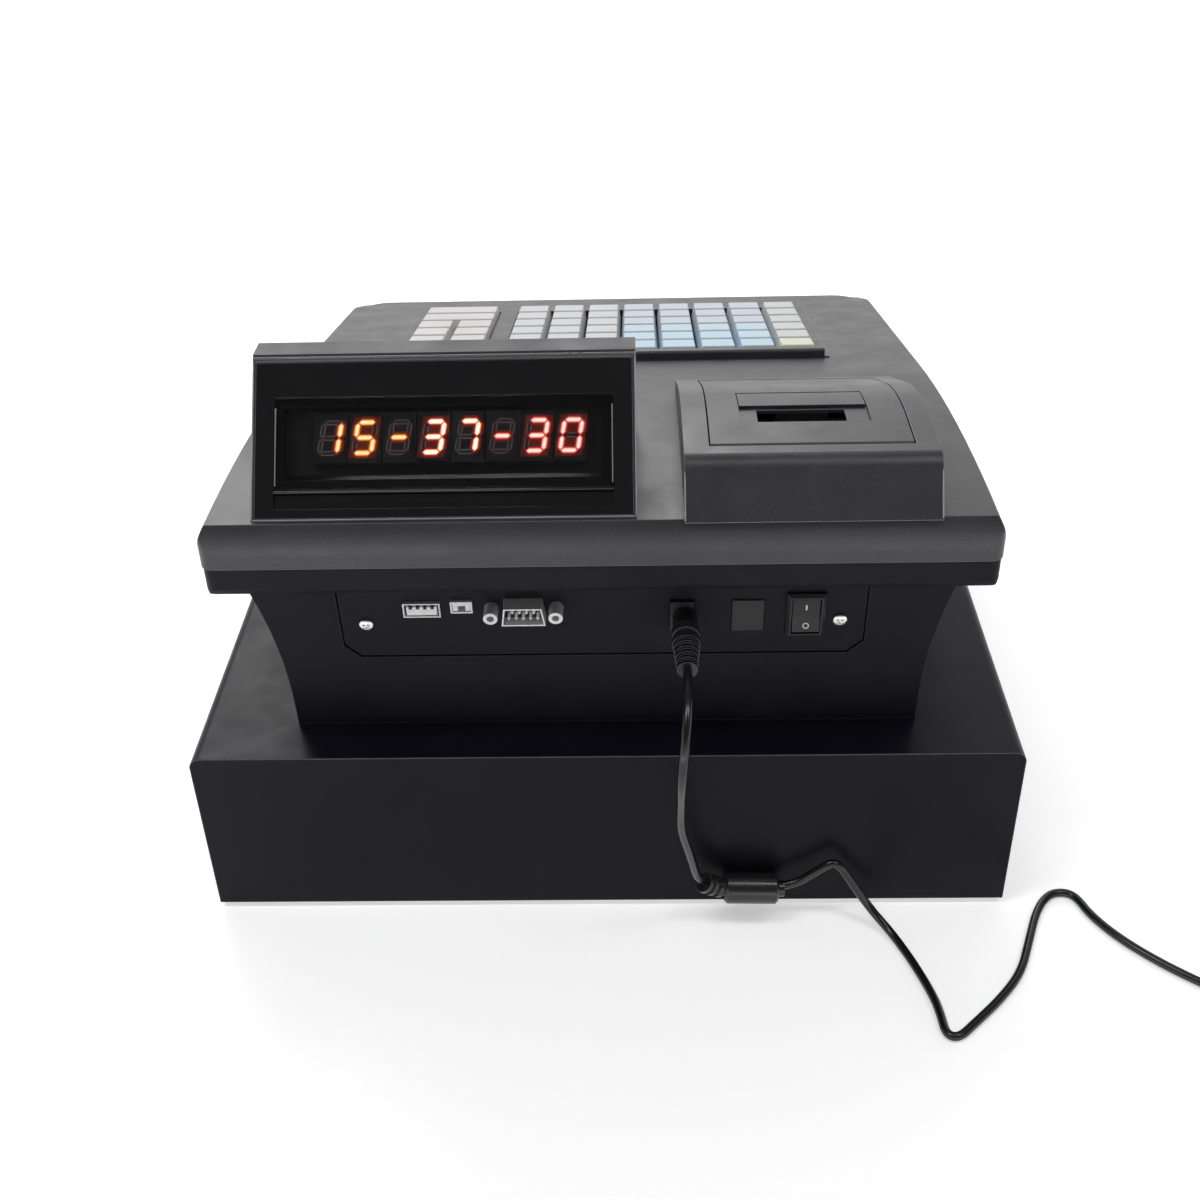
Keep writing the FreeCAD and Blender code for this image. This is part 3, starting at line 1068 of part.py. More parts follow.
def register_shells():
    """The two shells of the register's housing and the openings in them."""
    roll = "(((lip_half - deck_half) ^ 2 + roll_drop ^ 2) / (2 * (lip_half - deck_half)))"
    crown = [
        ("-lip_half", "deck_bend - parting"), ("lip_half", "deck_bend - parting"),
        ("lip_half", "deck_bend - roll_drop"), ("deck_half", "deck_bend", roll, "ccw"),
        ("-deck_half", "deck_bend"), ("-lip_half", "deck_bend - roll_drop", roll, "ccw"),
    ]
    side = side_prism()
    outer = join("crown", "Common", swept("crown_sweep", crown, FORWARD, BACK_OUTER),
                 plan_prism("crown_plan", "0"), side)
    inner = swept("crown_void", deck_box("(lip_half - shell_wall)", "shell_wall",
                                         "parting + overrun"), FORWARD_INNER, BACK_INNER)
    under_deck = swept("under_deck", deck_box("2 * lip_half", "0", "2 * printer_sink"),
                       f"{FORWARD}", BACK_OUTER)
    printer(under_deck)
    display(under_deck)
    keyboard()
    rim = "well_gap"
    keys = Piece("key_hole", SLOPE_AT, "slope")
    keys.pad("XY", [box(f"-({BEZEL_RIGHT} + {rim})", f"-({BEZEL_FRONT} + {rim})",
                        f"{BEZEL_LEFT} + {rim}", f"{rim} - {BEZEL_BACK}")],
             "2 * parting", "-parting")
    bay = Piece("tub_hole")
    bay.pad("XY", [box("-(tub_right + tub_gap)", "tub_front - tub_gap", "tub_gap - tub_left",
                       "tub_back + tub_gap")], "deck_rise", f"{CASE_TOP} + bay_rise / 2")
    keep("top_shell", join("top_shell", "Cut", outer, inner, keys, bay))

    band = [
        ("lip_corner - lip_half", "deck_bend - lip_depth"),
        ("lip_half - lip_corner", "deck_bend - lip_depth"),
        ("lip_half", "deck_bend - lip_depth + lip_corner", "lip_corner", "ccw"),
        ("lip_half", "deck_bend - parting"), ("-lip_half", "deck_bend - parting"),
        ("-lip_half", "deck_bend - lip_depth + lip_corner"),
    ]
    band[0] = band[0] + ("lip_corner", "ccw")
    lip = join("lip", "Common", swept("lip_sweep", band, FORWARD, BACK_OUTER),
               plan_prism("lip_plan", "parting_step"), side)
    above = swept("above_lip", deck_box("lip_half", "-deck_rise", "parting"), FORWARD,
                  "(lip_back + lip_depth)")
    shelf = swept("lip_void", deck_box("(lip_half - shell_wall)", "parting - overrun",
                                       "lip_depth - shell_wall"), FORWARD_INNER, BACK_INNER)
    well = flared("base_well", "shell_wall", f"({CASE_TOP} + shell_wall)")
    solid = join("base_solid", "Fuse", join("base_body", "Cut", flared("base_flare", "0",
                                                                        CASE_TOP), above), lip)
    hollow = join("base_hollow", "Cut", solid, shelf, well)
    ledge = Piece("panel_ledge", REAR_AT, "-back_tilt")
    ledge.pad("XZ", [panel_outline("ledge_margin")], "ledge_thick + shell_wall / 2",
              "-(shell_wall + ledge_thick)")
    ledge.pad("XZ", [ring(f"{sx} * (board_half - post_radius)", z, "post_radius")
                     for sx in (-1, 1)
                     for z in ("board_low + post_radius", "board_high - post_radius")],
              "board_depth - shell_wall", "-board_depth")
    recess = Piece("panel_recess", REAR_AT, "-back_tilt")
    recess.pad("XZ", [panel_outline("panel_groove")], "shell_wall + overrun",
               "-(panel_sink + panel_thick)")
    recess.pad("XZ", [box("-ledge_half", "panel_low + ledge_rise", "ledge_half",
                          "panel_high - ledge_rise")], "board_depth",
               "-board_depth")
    recess.pad("XZ", screws("screw_shank_radius"), "screw_shank_length + overrun",
               "-(panel_sink + screw_shank_length)")
    keep("base_shell", join("base_shell", "Cut", join("base_ledge", "Fuse", hollow, ledge),
                            recess))


def rear_panel():
    """The inset panel, its screws, the sockets and the board behind them."""
    def piece(name):
        return Piece(name, REAR_AT, "-back_tilt")

    depth = "board_depth"
    gap = "socket_gap"
    usb = ("usb_place", "usb_rise", "usb_width", "usb_height")
    small = ("small_place", "small_rise", "small_width", "small_height")
    jack = ("-jack_place", "jack_rise", "jack_width", "jack_height")
    blank = ("-blank_place", "blank_rise", "blank_width", "blank_height")
    frame = ("-switch_place", "switch_rise", "switch_width - 2 * switch_bevel",
             "switch_height - 2 * switch_bevel")
    panel = piece("rear_panel")
    panel.pad("XZ", [panel_outline("0")], "panel_thick", "-(panel_sink + panel_thick)")
    holes = [window(*w, gap) for w in (usb, small, jack, blank)] + [window(*frame)]
    holes += [serial_outline(f"-{gap}")] + posts("serial_post_radius") \
        + screws("screw_shank_radius")
    panel.cut("XZ", holes, "panel_thick + 2 * overrun", "-(panel_sink + panel_thick + overrun)")
    keep("rear_panel", panel)

    bolts = piece("panel_screws")
    bolts.pad("XZ", screws("screw_head_radius"), "screw_head_height", "-panel_sink")
    bolts.pad("XZ", screws("screw_shank_radius"), "screw_shank_length",
              "-(panel_sink + screw_shank_length)")
    keep("panel_screws", bolts)

    board = piece("main_board")
    board.pad("XZ", [box("-board_half", "board_low", "board_half", "board_high")],
              "board_thick", f"-({depth} + board_thick)")
    keep("main_board", board)

    full = piece("usb_socket")
    full.pad("XZ", [window(*usb)], f"{depth} + usb_proud", f"-{depth}")
    full.cut("XZ", [window(*usb, "-usb_sheet")], f"{depth} + usb_proud - usb_tongue",
             f"usb_tongue - {depth}")
    full.pad("XZ", [box("usb_place - usb_tongue_width / 2", "usb_rise",
                        "usb_place + usb_tongue_width / 2", "usb_rise + usb_tongue")],
             f"{depth} - usb_tongue", f"-{depth}")
    keep("usb_socket", full)

    mini = piece("mini_usb_socket")
    mini.pad("XZ", [window(*small)], f"{depth} + small_proud", f"-{depth}")
    mini.cut("XZ", [window(*small, "-small_sheet")], f"{depth} + small_proud - small_tongue",
             f"small_tongue - {depth}")
    mini.pad("XZ", [window("small_place", "small_rise", "2 * small_tongue", "small_tongue")],
             f"{depth} - small_tongue", f"-{depth}")
    keep("mini_usb_socket", mini)

    shell = piece("serial_shell")
    plate_back = "-(panel_sink + panel_thick + serial_plate)"
    shell.pad("XZ", [window("serial_place", "serial_rise", "serial_plate_width",
                            "serial_plate_height")], "serial_plate", plate_back)
    shell.pad("XZ", [serial_outline("0")], f"serial_proud - ({plate_back})", plate_back)
    shell.cut("XZ", posts("serial_post_radius"), "serial_plate + 2 * overrun",
              f"{plate_back} - overrun")
    shell.cut("XZ", [serial_outline("serial_sheet")], "serial_proud + board_depth",
              f"{plate_back} - overrun")
    keep("serial_shell", shell)

    core = piece("serial_pins")
    core.pad("XZ", [serial_outline("serial_sheet")], f"{depth} + serial_floor - panel_thick",
             f"-{depth}")
    pins = []
    for row, count in ((-1, 5), (1, 4)):
        for number in range(count):
            pins.append(ring(f"serial_place + ({number} - {(count - 1) / 2}) * serial_pin_pitch",
                             f"serial_rise + {row} * serial_pin_rows / 2", "serial_pin_radius"))
    core.pad("XZ", pins, f"{depth} + serial_pin_proud", f"-{depth}")
    keep("serial_pins", core)

    studs = piece("jack_posts")
    studs.pad("XZ", posts("serial_post_radius"), "serial_post_length + board_depth",
              f"-{depth}")
    studs.cut("XZ", posts("serial_post_bore"), "serial_post_length + overrun", "0")
    keep("jack_posts", studs)

    power = piece("dc_jack")
    power.pad("XZ", [window(*jack)], f"{depth} + jack_proud", f"-{depth}")
    power.cut("XZ", [ring("-jack_bore_place", "jack_rise", "jack_bore")],
              "jack_bore_depth + overrun", "jack_proud - jack_bore_depth")
    keep("dc_jack", power)

    plug = piece("blank_plug")
    plug.pad("XZ", [window(*blank)], "blank_depth", "-(blank_depth - blank_proud)")
    plug.soften("Chamfer", "blank_bevel", lambda e: at_level(e, "y", "blank_proud"))
    plug.pad("XZ", [window(*blank, "ledge_margin / 2")], "blank_lip",
             "-(panel_sink + panel_thick + blank_lip)")
    keep("blank_plug", plug)
    switch(piece)


def switch(piece):
    """The power switch: a bevelled frame snapped into the panel, and its rocker."""
    where = ("-switch_place", "switch_rise")
    frame = piece("switch_frame")
    frame.pad("XZ", [window(*where, "switch_width", "switch_height")],
              "switch_proud + panel_sink", "-panel_sink")
    frame.soften("Chamfer", "switch_bevel", lambda e: at_level(e, "y", "switch_proud"))
    frame.pad("XZ", [window(*where, "switch_width - 2 * switch_bevel",
                            "switch_height - 2 * switch_bevel")],
              "switch_depth + overrun - panel_sink", "-switch_depth")
    frame.cut("XZ", [window(*where, "switch_width", "switch_height", "-switch_rim")],
              "switch_depth + switch_proud", "switch_bevel - switch_depth")
    axle = ring("-rocker_sink", "switch_rise", "rocker_axle + rod_gap")
    frame.cut("YZ", [axle], "switch_width - 2 * switch_bevel - switch_bevel / 2",
              "-switch_place - switch_width / 2 + 1.25 * switch_bevel")
    keep("switch_frame", frame)

    at_y = "base_back - rocker_sink * cos(back_tilt) + switch_rise * sin(back_tilt)"
    at_z = f"{CASE_TOP} + switch_rise * cos(back_tilt) + rocker_sink * sin(back_tilt)"
    rocker = Piece("rocker_button", ("-switch_place", at_y, at_z), "-back_tilt")
    radius, tilt = "(switch_height / 2 - switch_rim - fit_gap)", "tan(2 * rocker_tilt)"
    high = f"sqrt({radius} ^ 2 - rocker_proud ^ 2)"
    low = (f"(sqrt({radius} ^ 2 * (1 + {tilt} ^ 2) - rocker_proud ^ 2) - rocker_proud * {tilt})"
           f" / (1 + {tilt} ^ 2)")
    rocker.pad("YZ", [[
        ("rocker_proud", "0"), ("rocker_proud", high),
        ("0", radius, radius, "ccw"), ("0", f"-{radius}"),
        (f"rocker_proud + {low} * {tilt}", f"-{low}", radius, "ccw"),
    ]], "switch_width - 2 * switch_rim - 2 * rocker_gap", both=True)
    rocker.pad("YZ", [ring("0", "0", "rocker_axle")], "switch_width - 2 * switch_rim + rocker_gap",
               both=True)
    keep("rocker_button", rocker)


# The lead's route: out of the plug, down behind the drawer, through the bead, over a fold, along
# the floor and into the coil. Points chosen by hand, in millimetres.
ROUTE = [
    (-32.0, 206.48, 135.6), (-30.9, 220.0, 126.9), (-29.2, 225.3, 110.6), (-29.5, 212.6, 83.9),
    (-29.6, 206.5, 68.0), (-34.0, 199.0, 46.5), (-38.5, 188.3, 18.5), (-75.0, 186.9, 16.2),
    (-88.0, 186.3, 26.6), (-94.5, 185.9, 31.2), (-100.9, 187.5, 21.3), (-109.5, 190.5, 8.0),
    (-118.0, 198.5, 1.8), (-124.5, 215.0, 1.8), (-129.6, 232.0, 1.8), (-130.9, 241.5, 1.8),
    (-131.3, 251.2, 1.8), (-136.0, 253.0, 1.8), (-143.2, 246.2, 1.8), (-156.0, 233.8, 1.8),
    (-166.8, 220.5, 1.8), (-173.5, 204.0, 1.8), (-180.5, 186.5, 1.8), (-187.6, 177.0, 1.8),
    (-194.5, 175.6, 1.8), (-199.2, 178.5, 1.8), (-202.4, 189.0, 1.8), (-211.5, 203.0, 1.8),
    (-227.0, 218.5, 1.8), (-246.0, 232.5, 1.8),
]


def rounded(points):
    """A wire of straight runs and tangent arcs through a list of points, and its arcs' radii."""
    edges, radii, start = [], [], points[0]
    for before, corner, after in zip(points, points[1:], points[2:]):
        arrive, leave = (corner - before), (after - corner)
        reach = size("bend_share") * min(arrive.Length, leave.Length)
        half = arrive.getAngle(leave) / 2
        first = corner - arrive.normalize() * reach
        last = corner + leave.normalize() * reach
        middle = (first + last) / 2
        radii.append(reach / math.tan(half))
        depth = (corner - middle).Length - radii[-1] * (1 / math.cos(half) - 1)
        mid = middle + (corner - middle).normalize() * depth
        edges.append(Part.LineSegment(start, first).toShape())
        edges.append(Part.Arc(first, mid, last).toShape())
        start = last
    edges.append(Part.LineSegment(start, points[-1]).toShape())
    return Part.Wire(edges), radii


def tube(wire, radius):
    """A round tube along a wire."""
    first = wire.Edges[0]
    start = first.valueAt(first.FirstParameter)
    circle = Part.Circle(start, first.tangentAt(first.FirstParameter), radius).toShape()
    sweep = Part.BRepOffsetAPI.MakePipeShell(wire)
    sweep.add(Part.Wire([circle]))
    sweep.build()
    sweep.makeSolid()
    return sweep.shape()


def coil_path():
    """The coil's line as points and headings: in along the floor, up a layer, and out again."""
    middle = Vector(-size("coil_x"), size("coil_y"), size("cord_radius"))
    inner, pitch, layer = size("coil_inner"), size("coil_pitch"), size("coil_layer")
    turns_in, turns_out = size("coil_turns_in"), size("coil_turns_out")

    def spot(turn):
        climb = min(max((turn - turns_in) * 2, 0), 1)
        radius = inner - size("coil_dip") * math.sin(math.pi * climb)
        radius += pitch * (max(turns_in - turn, 0) + max(turn - turns_in - 0.5, 0))
        angle = math.radians(90) + math.tau * turn
        rise = layer * climb * climb * (3 - 2 * climb)
        return middle + Vector(math.cos(angle) * radius, math.sin(angle) * radius, rise)
    steps = round((turns_in + 0.5 + turns_out) * 4)
    points = [spot(step / 4) for step in range(steps + 1)]
    small = size("coil_step_share")
    headings = [(spot(step / 4 + small) - spot(step / 4 - small)).normalize()
                for step in range(steps + 1)]
    headings[0], headings[-1] = Vector(-1, 0, 0), Vector(0, -1, 0)
    return points, headings


def biarc(start, out, end, into):
    """Two tangent arcs from a point and heading to another."""
    span, both = end - start, out + into
    spread = 2 * (1 - out.dot(into))
    along = span.dot(both)
    reach = (math.sqrt(along * along + spread * span.dot(span)) - along) / spread
    first, second = start + out * reach, end - into * reach
    joint = (first + second) / 2
    arcs = []
    for one, corner, other in ((start, first, joint), (joint, second, end)):
        middle = (one + other) / 2
        half = (other - one).Length / 2
        angle = math.acos(min(half / reach, 1))
        bulge = (corner - middle).normalize() * (half * math.tan(angle / 2))
        arcs.append(Part.Arc(one, middle + bulge, other).toShape())
    return arcs


def plain(label, shape):
    """A piece whose solid is worked out from points, which has no sketch."""
    item = doc.addObject("Part::Feature", label)
    item.Shape = shape
    item.Label = label
    return keep(label, item)


def lead():
    """The lead, the bead round it, the coil of its rest, its plug and its adapter."""
    reach, turn = size("plug_length"), math.radians(size("back_tilt"))
    rise = size("jack_rise")
    plug_end = Vector(
        -size("jack_bore_place"),
        size("base_back") + reach * math.cos(turn) + rise * math.sin(turn),
        size(CASE_TOP) + rise * math.cos(turn) - reach * math.sin(turn),
    )
    points, headings = coil_path()
    radius = size("cord_radius")
    entry = points[0] - headings[0] * 2 * radius
    knots = [plug_end] + [Vector(*p) for p in ROUTE]
    knots += [Vector(entry.x + size("coil_run_in"), entry.y, entry.z), entry]
    wire, radii = rounded(knots)
    solid = tube(wire, radius)
    print("lead", round(wire.Length), "mm, radii", [round(r, 1) for r in radii])
    print("lead volume over section", round(solid.Volume / (math.pi * radius ** 2 * wire.Length), 4))
    plain("cord_lead", solid)

    edges = [Part.LineSegment(entry, points[0]).toShape()]
    for (start, end), (out, into) in zip(zip(points, points[1:]), zip(headings, headings[1:])):
        edges += biarc(start, out, end, into)
    tail = points[-1] + headings[-1] * size("coil_tail")
    edges.append(Part.LineSegment(points[-1], tail).toShape())
    path = Part.Wire(edges)
    spots = path.discretize(Distance=radius)
    step = path.Length / (len(spots) - 1)
    apart = math.ceil(4 * math.pi * radius / step)
    least = min(
        (spots[i] - spots[j]).Length for i in range(len(spots))
        for j in range(i + apart, len(spots))
    )
    print("coil", round(path.Length), "mm, least gap", round(least - 2 * radius, 2))
    coil = tube(path, radius)
    print("coil volume over section", round(coil.Volume / (math.pi * radius ** 2 * path.Length), 4))
    plain("cord_coil", coil)

    bore = tube(rounded(knots[5:12])[0], radius + size("bead_gap"))
    lower, upper = knots[7], knots[8]
    axis = (upper - lower).normalize()
    begin = lower + axis * ((lower.x + size("bead_start")) / -axis.x)
    body = Part.makeCylinder(size("bead_radius"), size("bead_length"), begin, axis)
    body = body.makeChamfer(size("bead_bevel"), [e for e in body.Edges if e.Closed])
    collar = Part.makeCylinder(size("bead_collar_radius"),
                               size("bead_length") + size("bead_collar"), begin, axis)
    relief, _ = rounded(knots[5:9])
    pieces = [body, collar]
    arc = relief.Edges[3]
    first, last = arc.FirstParameter, arc.LastParameter
    for number in range(SIZES["bead_rings"]):
        at = first + (last - first) * (size("bead_ring_share") + size("bead_step_share") * number)
        spot, heading = arc.valueAt(at), arc.tangentAt(at)
        width = size("bead_ring_width")
        pieces.append(Part.makeCylinder(size("bead_ring"), width, spot - heading * width / 2,
                                        heading))
    sleeve = arc.Curve.toShape(first + (last - first) * size("bead_sleeve_share"), last)
    pieces.append(tube(Part.Wire([sleeve]), size("bead_collar_radius")))
    bead = pieces[0].fuse(pieces[1:]).cut(bore)
    plain("ferrite_bead", bead)
    plug()
    adapter(tail)


def plug():
    """The lead's plug: tip, grip with two rings, and a ribbed, tapered relief."""
    at = ("-jack_bore_place", "base_back + jack_rise * sin(back_tilt)",
          f"{CASE_TOP} + jack_rise * cos(back_tilt)")
    body = Piece("dc_plug", at, "-back_tilt")
    start = "(jack_proud + fit_gap)"
    ring_a, width, gap = "plug_ring_place", "plug_ring_width", "plug_ring_gap"
    ring_b = f"({ring_a} + {width} + {gap})"
    end = f"({ring_b} + {width})"
    outline = [("0", "jack_proud - plug_tip_length"), ("plug_tip", "jack_proud - plug_tip_length"),
               ("plug_tip", start), ("plug_grip", start), ("plug_grip", ring_a),
               ("plug_ring", ring_a), ("plug_ring", f"{ring_a} + {width}"),
               ("plug_grip", f"{ring_a} + {width}"), ("plug_grip", ring_b),
               ("plug_ring", ring_b), ("plug_ring", end)]
    pitch = f"((plug_length - {end}) / plug_ribs)"
    for rib in range(SIZES["plug_ribs"]):
        near = f"(plug_ring - (plug_ring - plug_neck) * {rib + 1} / (plug_ribs + 1))"
        outline += [(f"{near} - plug_rib_depth", f"{end} + {rib} * {pitch}"),
                    (f"{near} - plug_rib_depth", f"{end} + ({rib} + plug_rib_share) * {pitch}"),
                    (near, f"{end} + ({rib} + plug_rib_share) * {pitch}"),
                    (near, f"{end} + ({rib} + 1) * {pitch}")]
    outline.append(("0", "plug_length"))
    body.spin("XY", [outline], "Y")
    keep("dc_plug", body)


def adapter(mouth):
    """The plug-in adapter that the coil ends in."""
    body = Piece("adapter_body", (f"{mouth.x}", f"{mouth.y}", "0"))
    neck, length = "adapter_neck_length", "adapter_length"
    half = "adapter_width / 2"
    body.pad("XY", [box(f"-{half}", f"-({neck} + {length})", half, f"-{neck}")],
             "adapter_height")
    body.soften("Fillet", "adapter_edge", lambda e: straight(e, "z"))
    level = "(cord_radius + coil_layer)"
    body.pad("XZ", [ring("0", level, "adapter_neck_radius")], neck, f"-{neck}")
    for side in (-1, 1):
        body.pad("XY", [box(f"{side} * blade_spread - blade_thick / 2",
                            f"-({neck} + {length} + blade_length)",
                            f"{side} * blade_spread + blade_thick / 2", f"-({neck} + {length})")],
                 "blade_width", "adapter_height / 2 - blade_width / 2")
    body.body.Label = "wall_adapter"
    keep("wall_adapter", body)


def build():
    drawer_case()
    case_floor()
    ball_slides()
    drawer_tray()
    drawer_front()
    lock()
    till()
    latch()
    register_shells()
    rear_panel()
    lead()
    doc.recompute()
    for item in doc.Objects:
        if "Invalid" in item.State or "Error" in item.State:
            raise RuntimeError(f"{item.Label} did not build: {item.State}")
    os.makedirs("parts", exist_ok=True)
    for name, item in kept.items():
        shape = item.Shape
        if shape.isNull() or not shape.isValid():
            raise RuntimeError(f"{name} has no valid shape")
        shape.exportStep(f"parts/{name}.step")
    print(len(kept), "parts written")


build()
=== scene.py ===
"""The looks of a ticket register on its cash drawer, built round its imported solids."""

import logging
import math
from dataclasses import dataclass, field, replace
from enum import Enum
from typing import Iterable, Optional, Sequence

import bmesh
import bpy
from mathutils import Matrix, Vector


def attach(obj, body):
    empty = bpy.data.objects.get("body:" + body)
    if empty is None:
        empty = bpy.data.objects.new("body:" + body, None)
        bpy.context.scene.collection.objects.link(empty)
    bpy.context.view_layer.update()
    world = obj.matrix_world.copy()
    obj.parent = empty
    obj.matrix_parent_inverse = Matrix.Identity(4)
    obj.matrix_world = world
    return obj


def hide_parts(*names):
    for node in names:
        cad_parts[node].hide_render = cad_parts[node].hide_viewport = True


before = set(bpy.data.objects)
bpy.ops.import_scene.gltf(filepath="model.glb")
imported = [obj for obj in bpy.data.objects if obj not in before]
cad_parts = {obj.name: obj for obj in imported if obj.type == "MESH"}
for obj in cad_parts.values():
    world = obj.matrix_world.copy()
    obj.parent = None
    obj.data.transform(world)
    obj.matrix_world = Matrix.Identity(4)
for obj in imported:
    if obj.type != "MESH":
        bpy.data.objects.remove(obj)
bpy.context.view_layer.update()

MM = 0.001
log = logging.getLogger("ticket_register")

Point = tuple[float, float]
Place = tuple[float, float, float]
Colour = tuple[float, float, float]

# Scales of the finishes' marks, in features for each metre, and where their ranges lie.
CLOUDS = 28.0
HANDLING = 60.0
# The specks are painted glints: small bright spots in the colour for light sparkling on the
# moulded texture.
GLINT_SCALE = 1 / (0.45 * MM)
GLINT_RANGE = (0.6, 0.74)
KEY_CLOUD = 0.18
# How far the smoothed normal agrees with the face's, on an edge with a painted highlight and on
# flat ground.
EDGE_TURN = (0.70, 0.97)
SHARP_ANGLE = math.radians(35)

# Frames of the customer face and the rear panel, as the solids have them. Y points outwards.
FACE = Matrix.Translation((0, 0.172, 0.1892)) @ Matrix.Rotation(math.radians(40), 4, "X")
REAR = Matrix.Translation((0, 0.1573, 0.083)) @ Matrix.Rotation(math.radians(-5.8), 4, "X")


class Grain(Enum):
    """How a surface is finished at close range."""

    SANDED = "fine moulded texture"
    PEEL = "powder coat with a slight orange peel"
    POLISHED = "polished, with faint handling marks"
    BRUSHED = "rolled sheet with fine lines"
    FIBRE = "paper"


class Tree:
    """The nodes of a material or of the world."""

    def __init__(self, name: str, world: bool = False) -> None:
        """Starts it with its one shader.

        Args:
            name: its name.
            world: whether it is the world and not a material.
        """
        self.owner = (bpy.data.worlds if world else bpy.data.materials).new(name)
        self.owner.use_nodes = True
        self.nodes, self.links = self.owner.node_tree.nodes, self.owner.node_tree.links
        self.shader = self.nodes["Background" if world else "Principled BSDF"]

    def add(self, kind: str, label: str = "", **settings: object) -> bpy.types.Node:
        """Adds a node.

        Args:
            kind: the node's type.
            label: what the node is for.
            **settings: properties of the node.

        Returns:
            The node.
        """
        node = self.nodes.new(kind)
        node.label = label
        for name, value in settings.items():
            setattr(node, name, value)
        return node

    def set(self, node: bpy.types.Node, **values: object) -> bpy.types.Node:
        """Sets sockets by name, either to a value or to another node's output.

        Args:
            node: the node whose inputs are set.
            **values: the inputs, with underscores for spaces.

        Returns:
            The node.
        """
        for name, value in values.items():
            socket = node.inputs[name.replace("_", " ")]
            if isinstance(value, bpy.types.NodeSocket):
                self.links.new(value, socket)
            else:
                socket.default_value = value
        return node

    def place(self) -> bpy.types.NodeSocket:
        """The point on the piece, in metres."""
        return self.add("ShaderNodeTexCoord", "place on the piece").outputs["Object"]

    def noise(self, scale: float, detail: float = 2.0, rough: float = 0.5,
              stretch: Optional[Sequence[float]] = None) -> bpy.types.NodeSocket:
        """A noise over the piece.

        Args:
            scale: how fine it is, in features for each metre.
            detail: its octaves.
            rough: how strong the finer octaves are.
            stretch: a scale for each axis, for marks that run one way.

        Returns:
            The noise's value.
        """
        where = self.place()
        if stretch:
            mapping = self.add("ShaderNodeMapping", "direction of the marks")
            self.set(mapping, Vector=where, Scale=tuple(stretch))
            where = mapping.outputs["Vector"]
        node = self.add("ShaderNodeTexNoise", "variation")
        self.set(node, Vector=where, Scale=scale, Detail=detail, Roughness=rough)
        return node.outputs["Fac"]

    def span(self, value: bpy.types.NodeSocket, low: float, high: object, start: float = 0.3,
             end: float = 0.7, kind: str = "LINEAR") -> bpy.types.NodeSocket:
        """Maps a value to a range.

        Args:
            value: the value.
            low: the result at start.
            high: the result at end, or a socket.
            start: where the range begins.
            end: where the range ends.
            kind: how it runs between them.

        Returns:
            The mapped value.
        """
        node = self.add("ShaderNodeMapRange", "range", interpolation_type=kind)
        self.set(node, Value=value, From_Min=start, From_Max=end, To_Min=low, To_Max=high)
        return node.outputs["Result"]

    def blend(self, fac: bpy.types.NodeSocket, one: object, other: object) -> bpy.types.NodeSocket:
        """Mixes two colours.

        Args:
            fac: the share of the second.
            one: the first colour, or a socket.
            other: the second.

        Returns:
            The mixed colour.
        """
        node = self.add("ShaderNodeMix", "mixed colour", data_type="RGBA")
        self.links.new(fac, node.inputs[0])
        for index, value in ((6, one), (7, other)):
            if isinstance(value, bpy.types.NodeSocket):
                self.links.new(value, node.inputs[index])
            else:
                node.inputs[index].default_value = (*value, 1.0)
        return node.outputs[2]


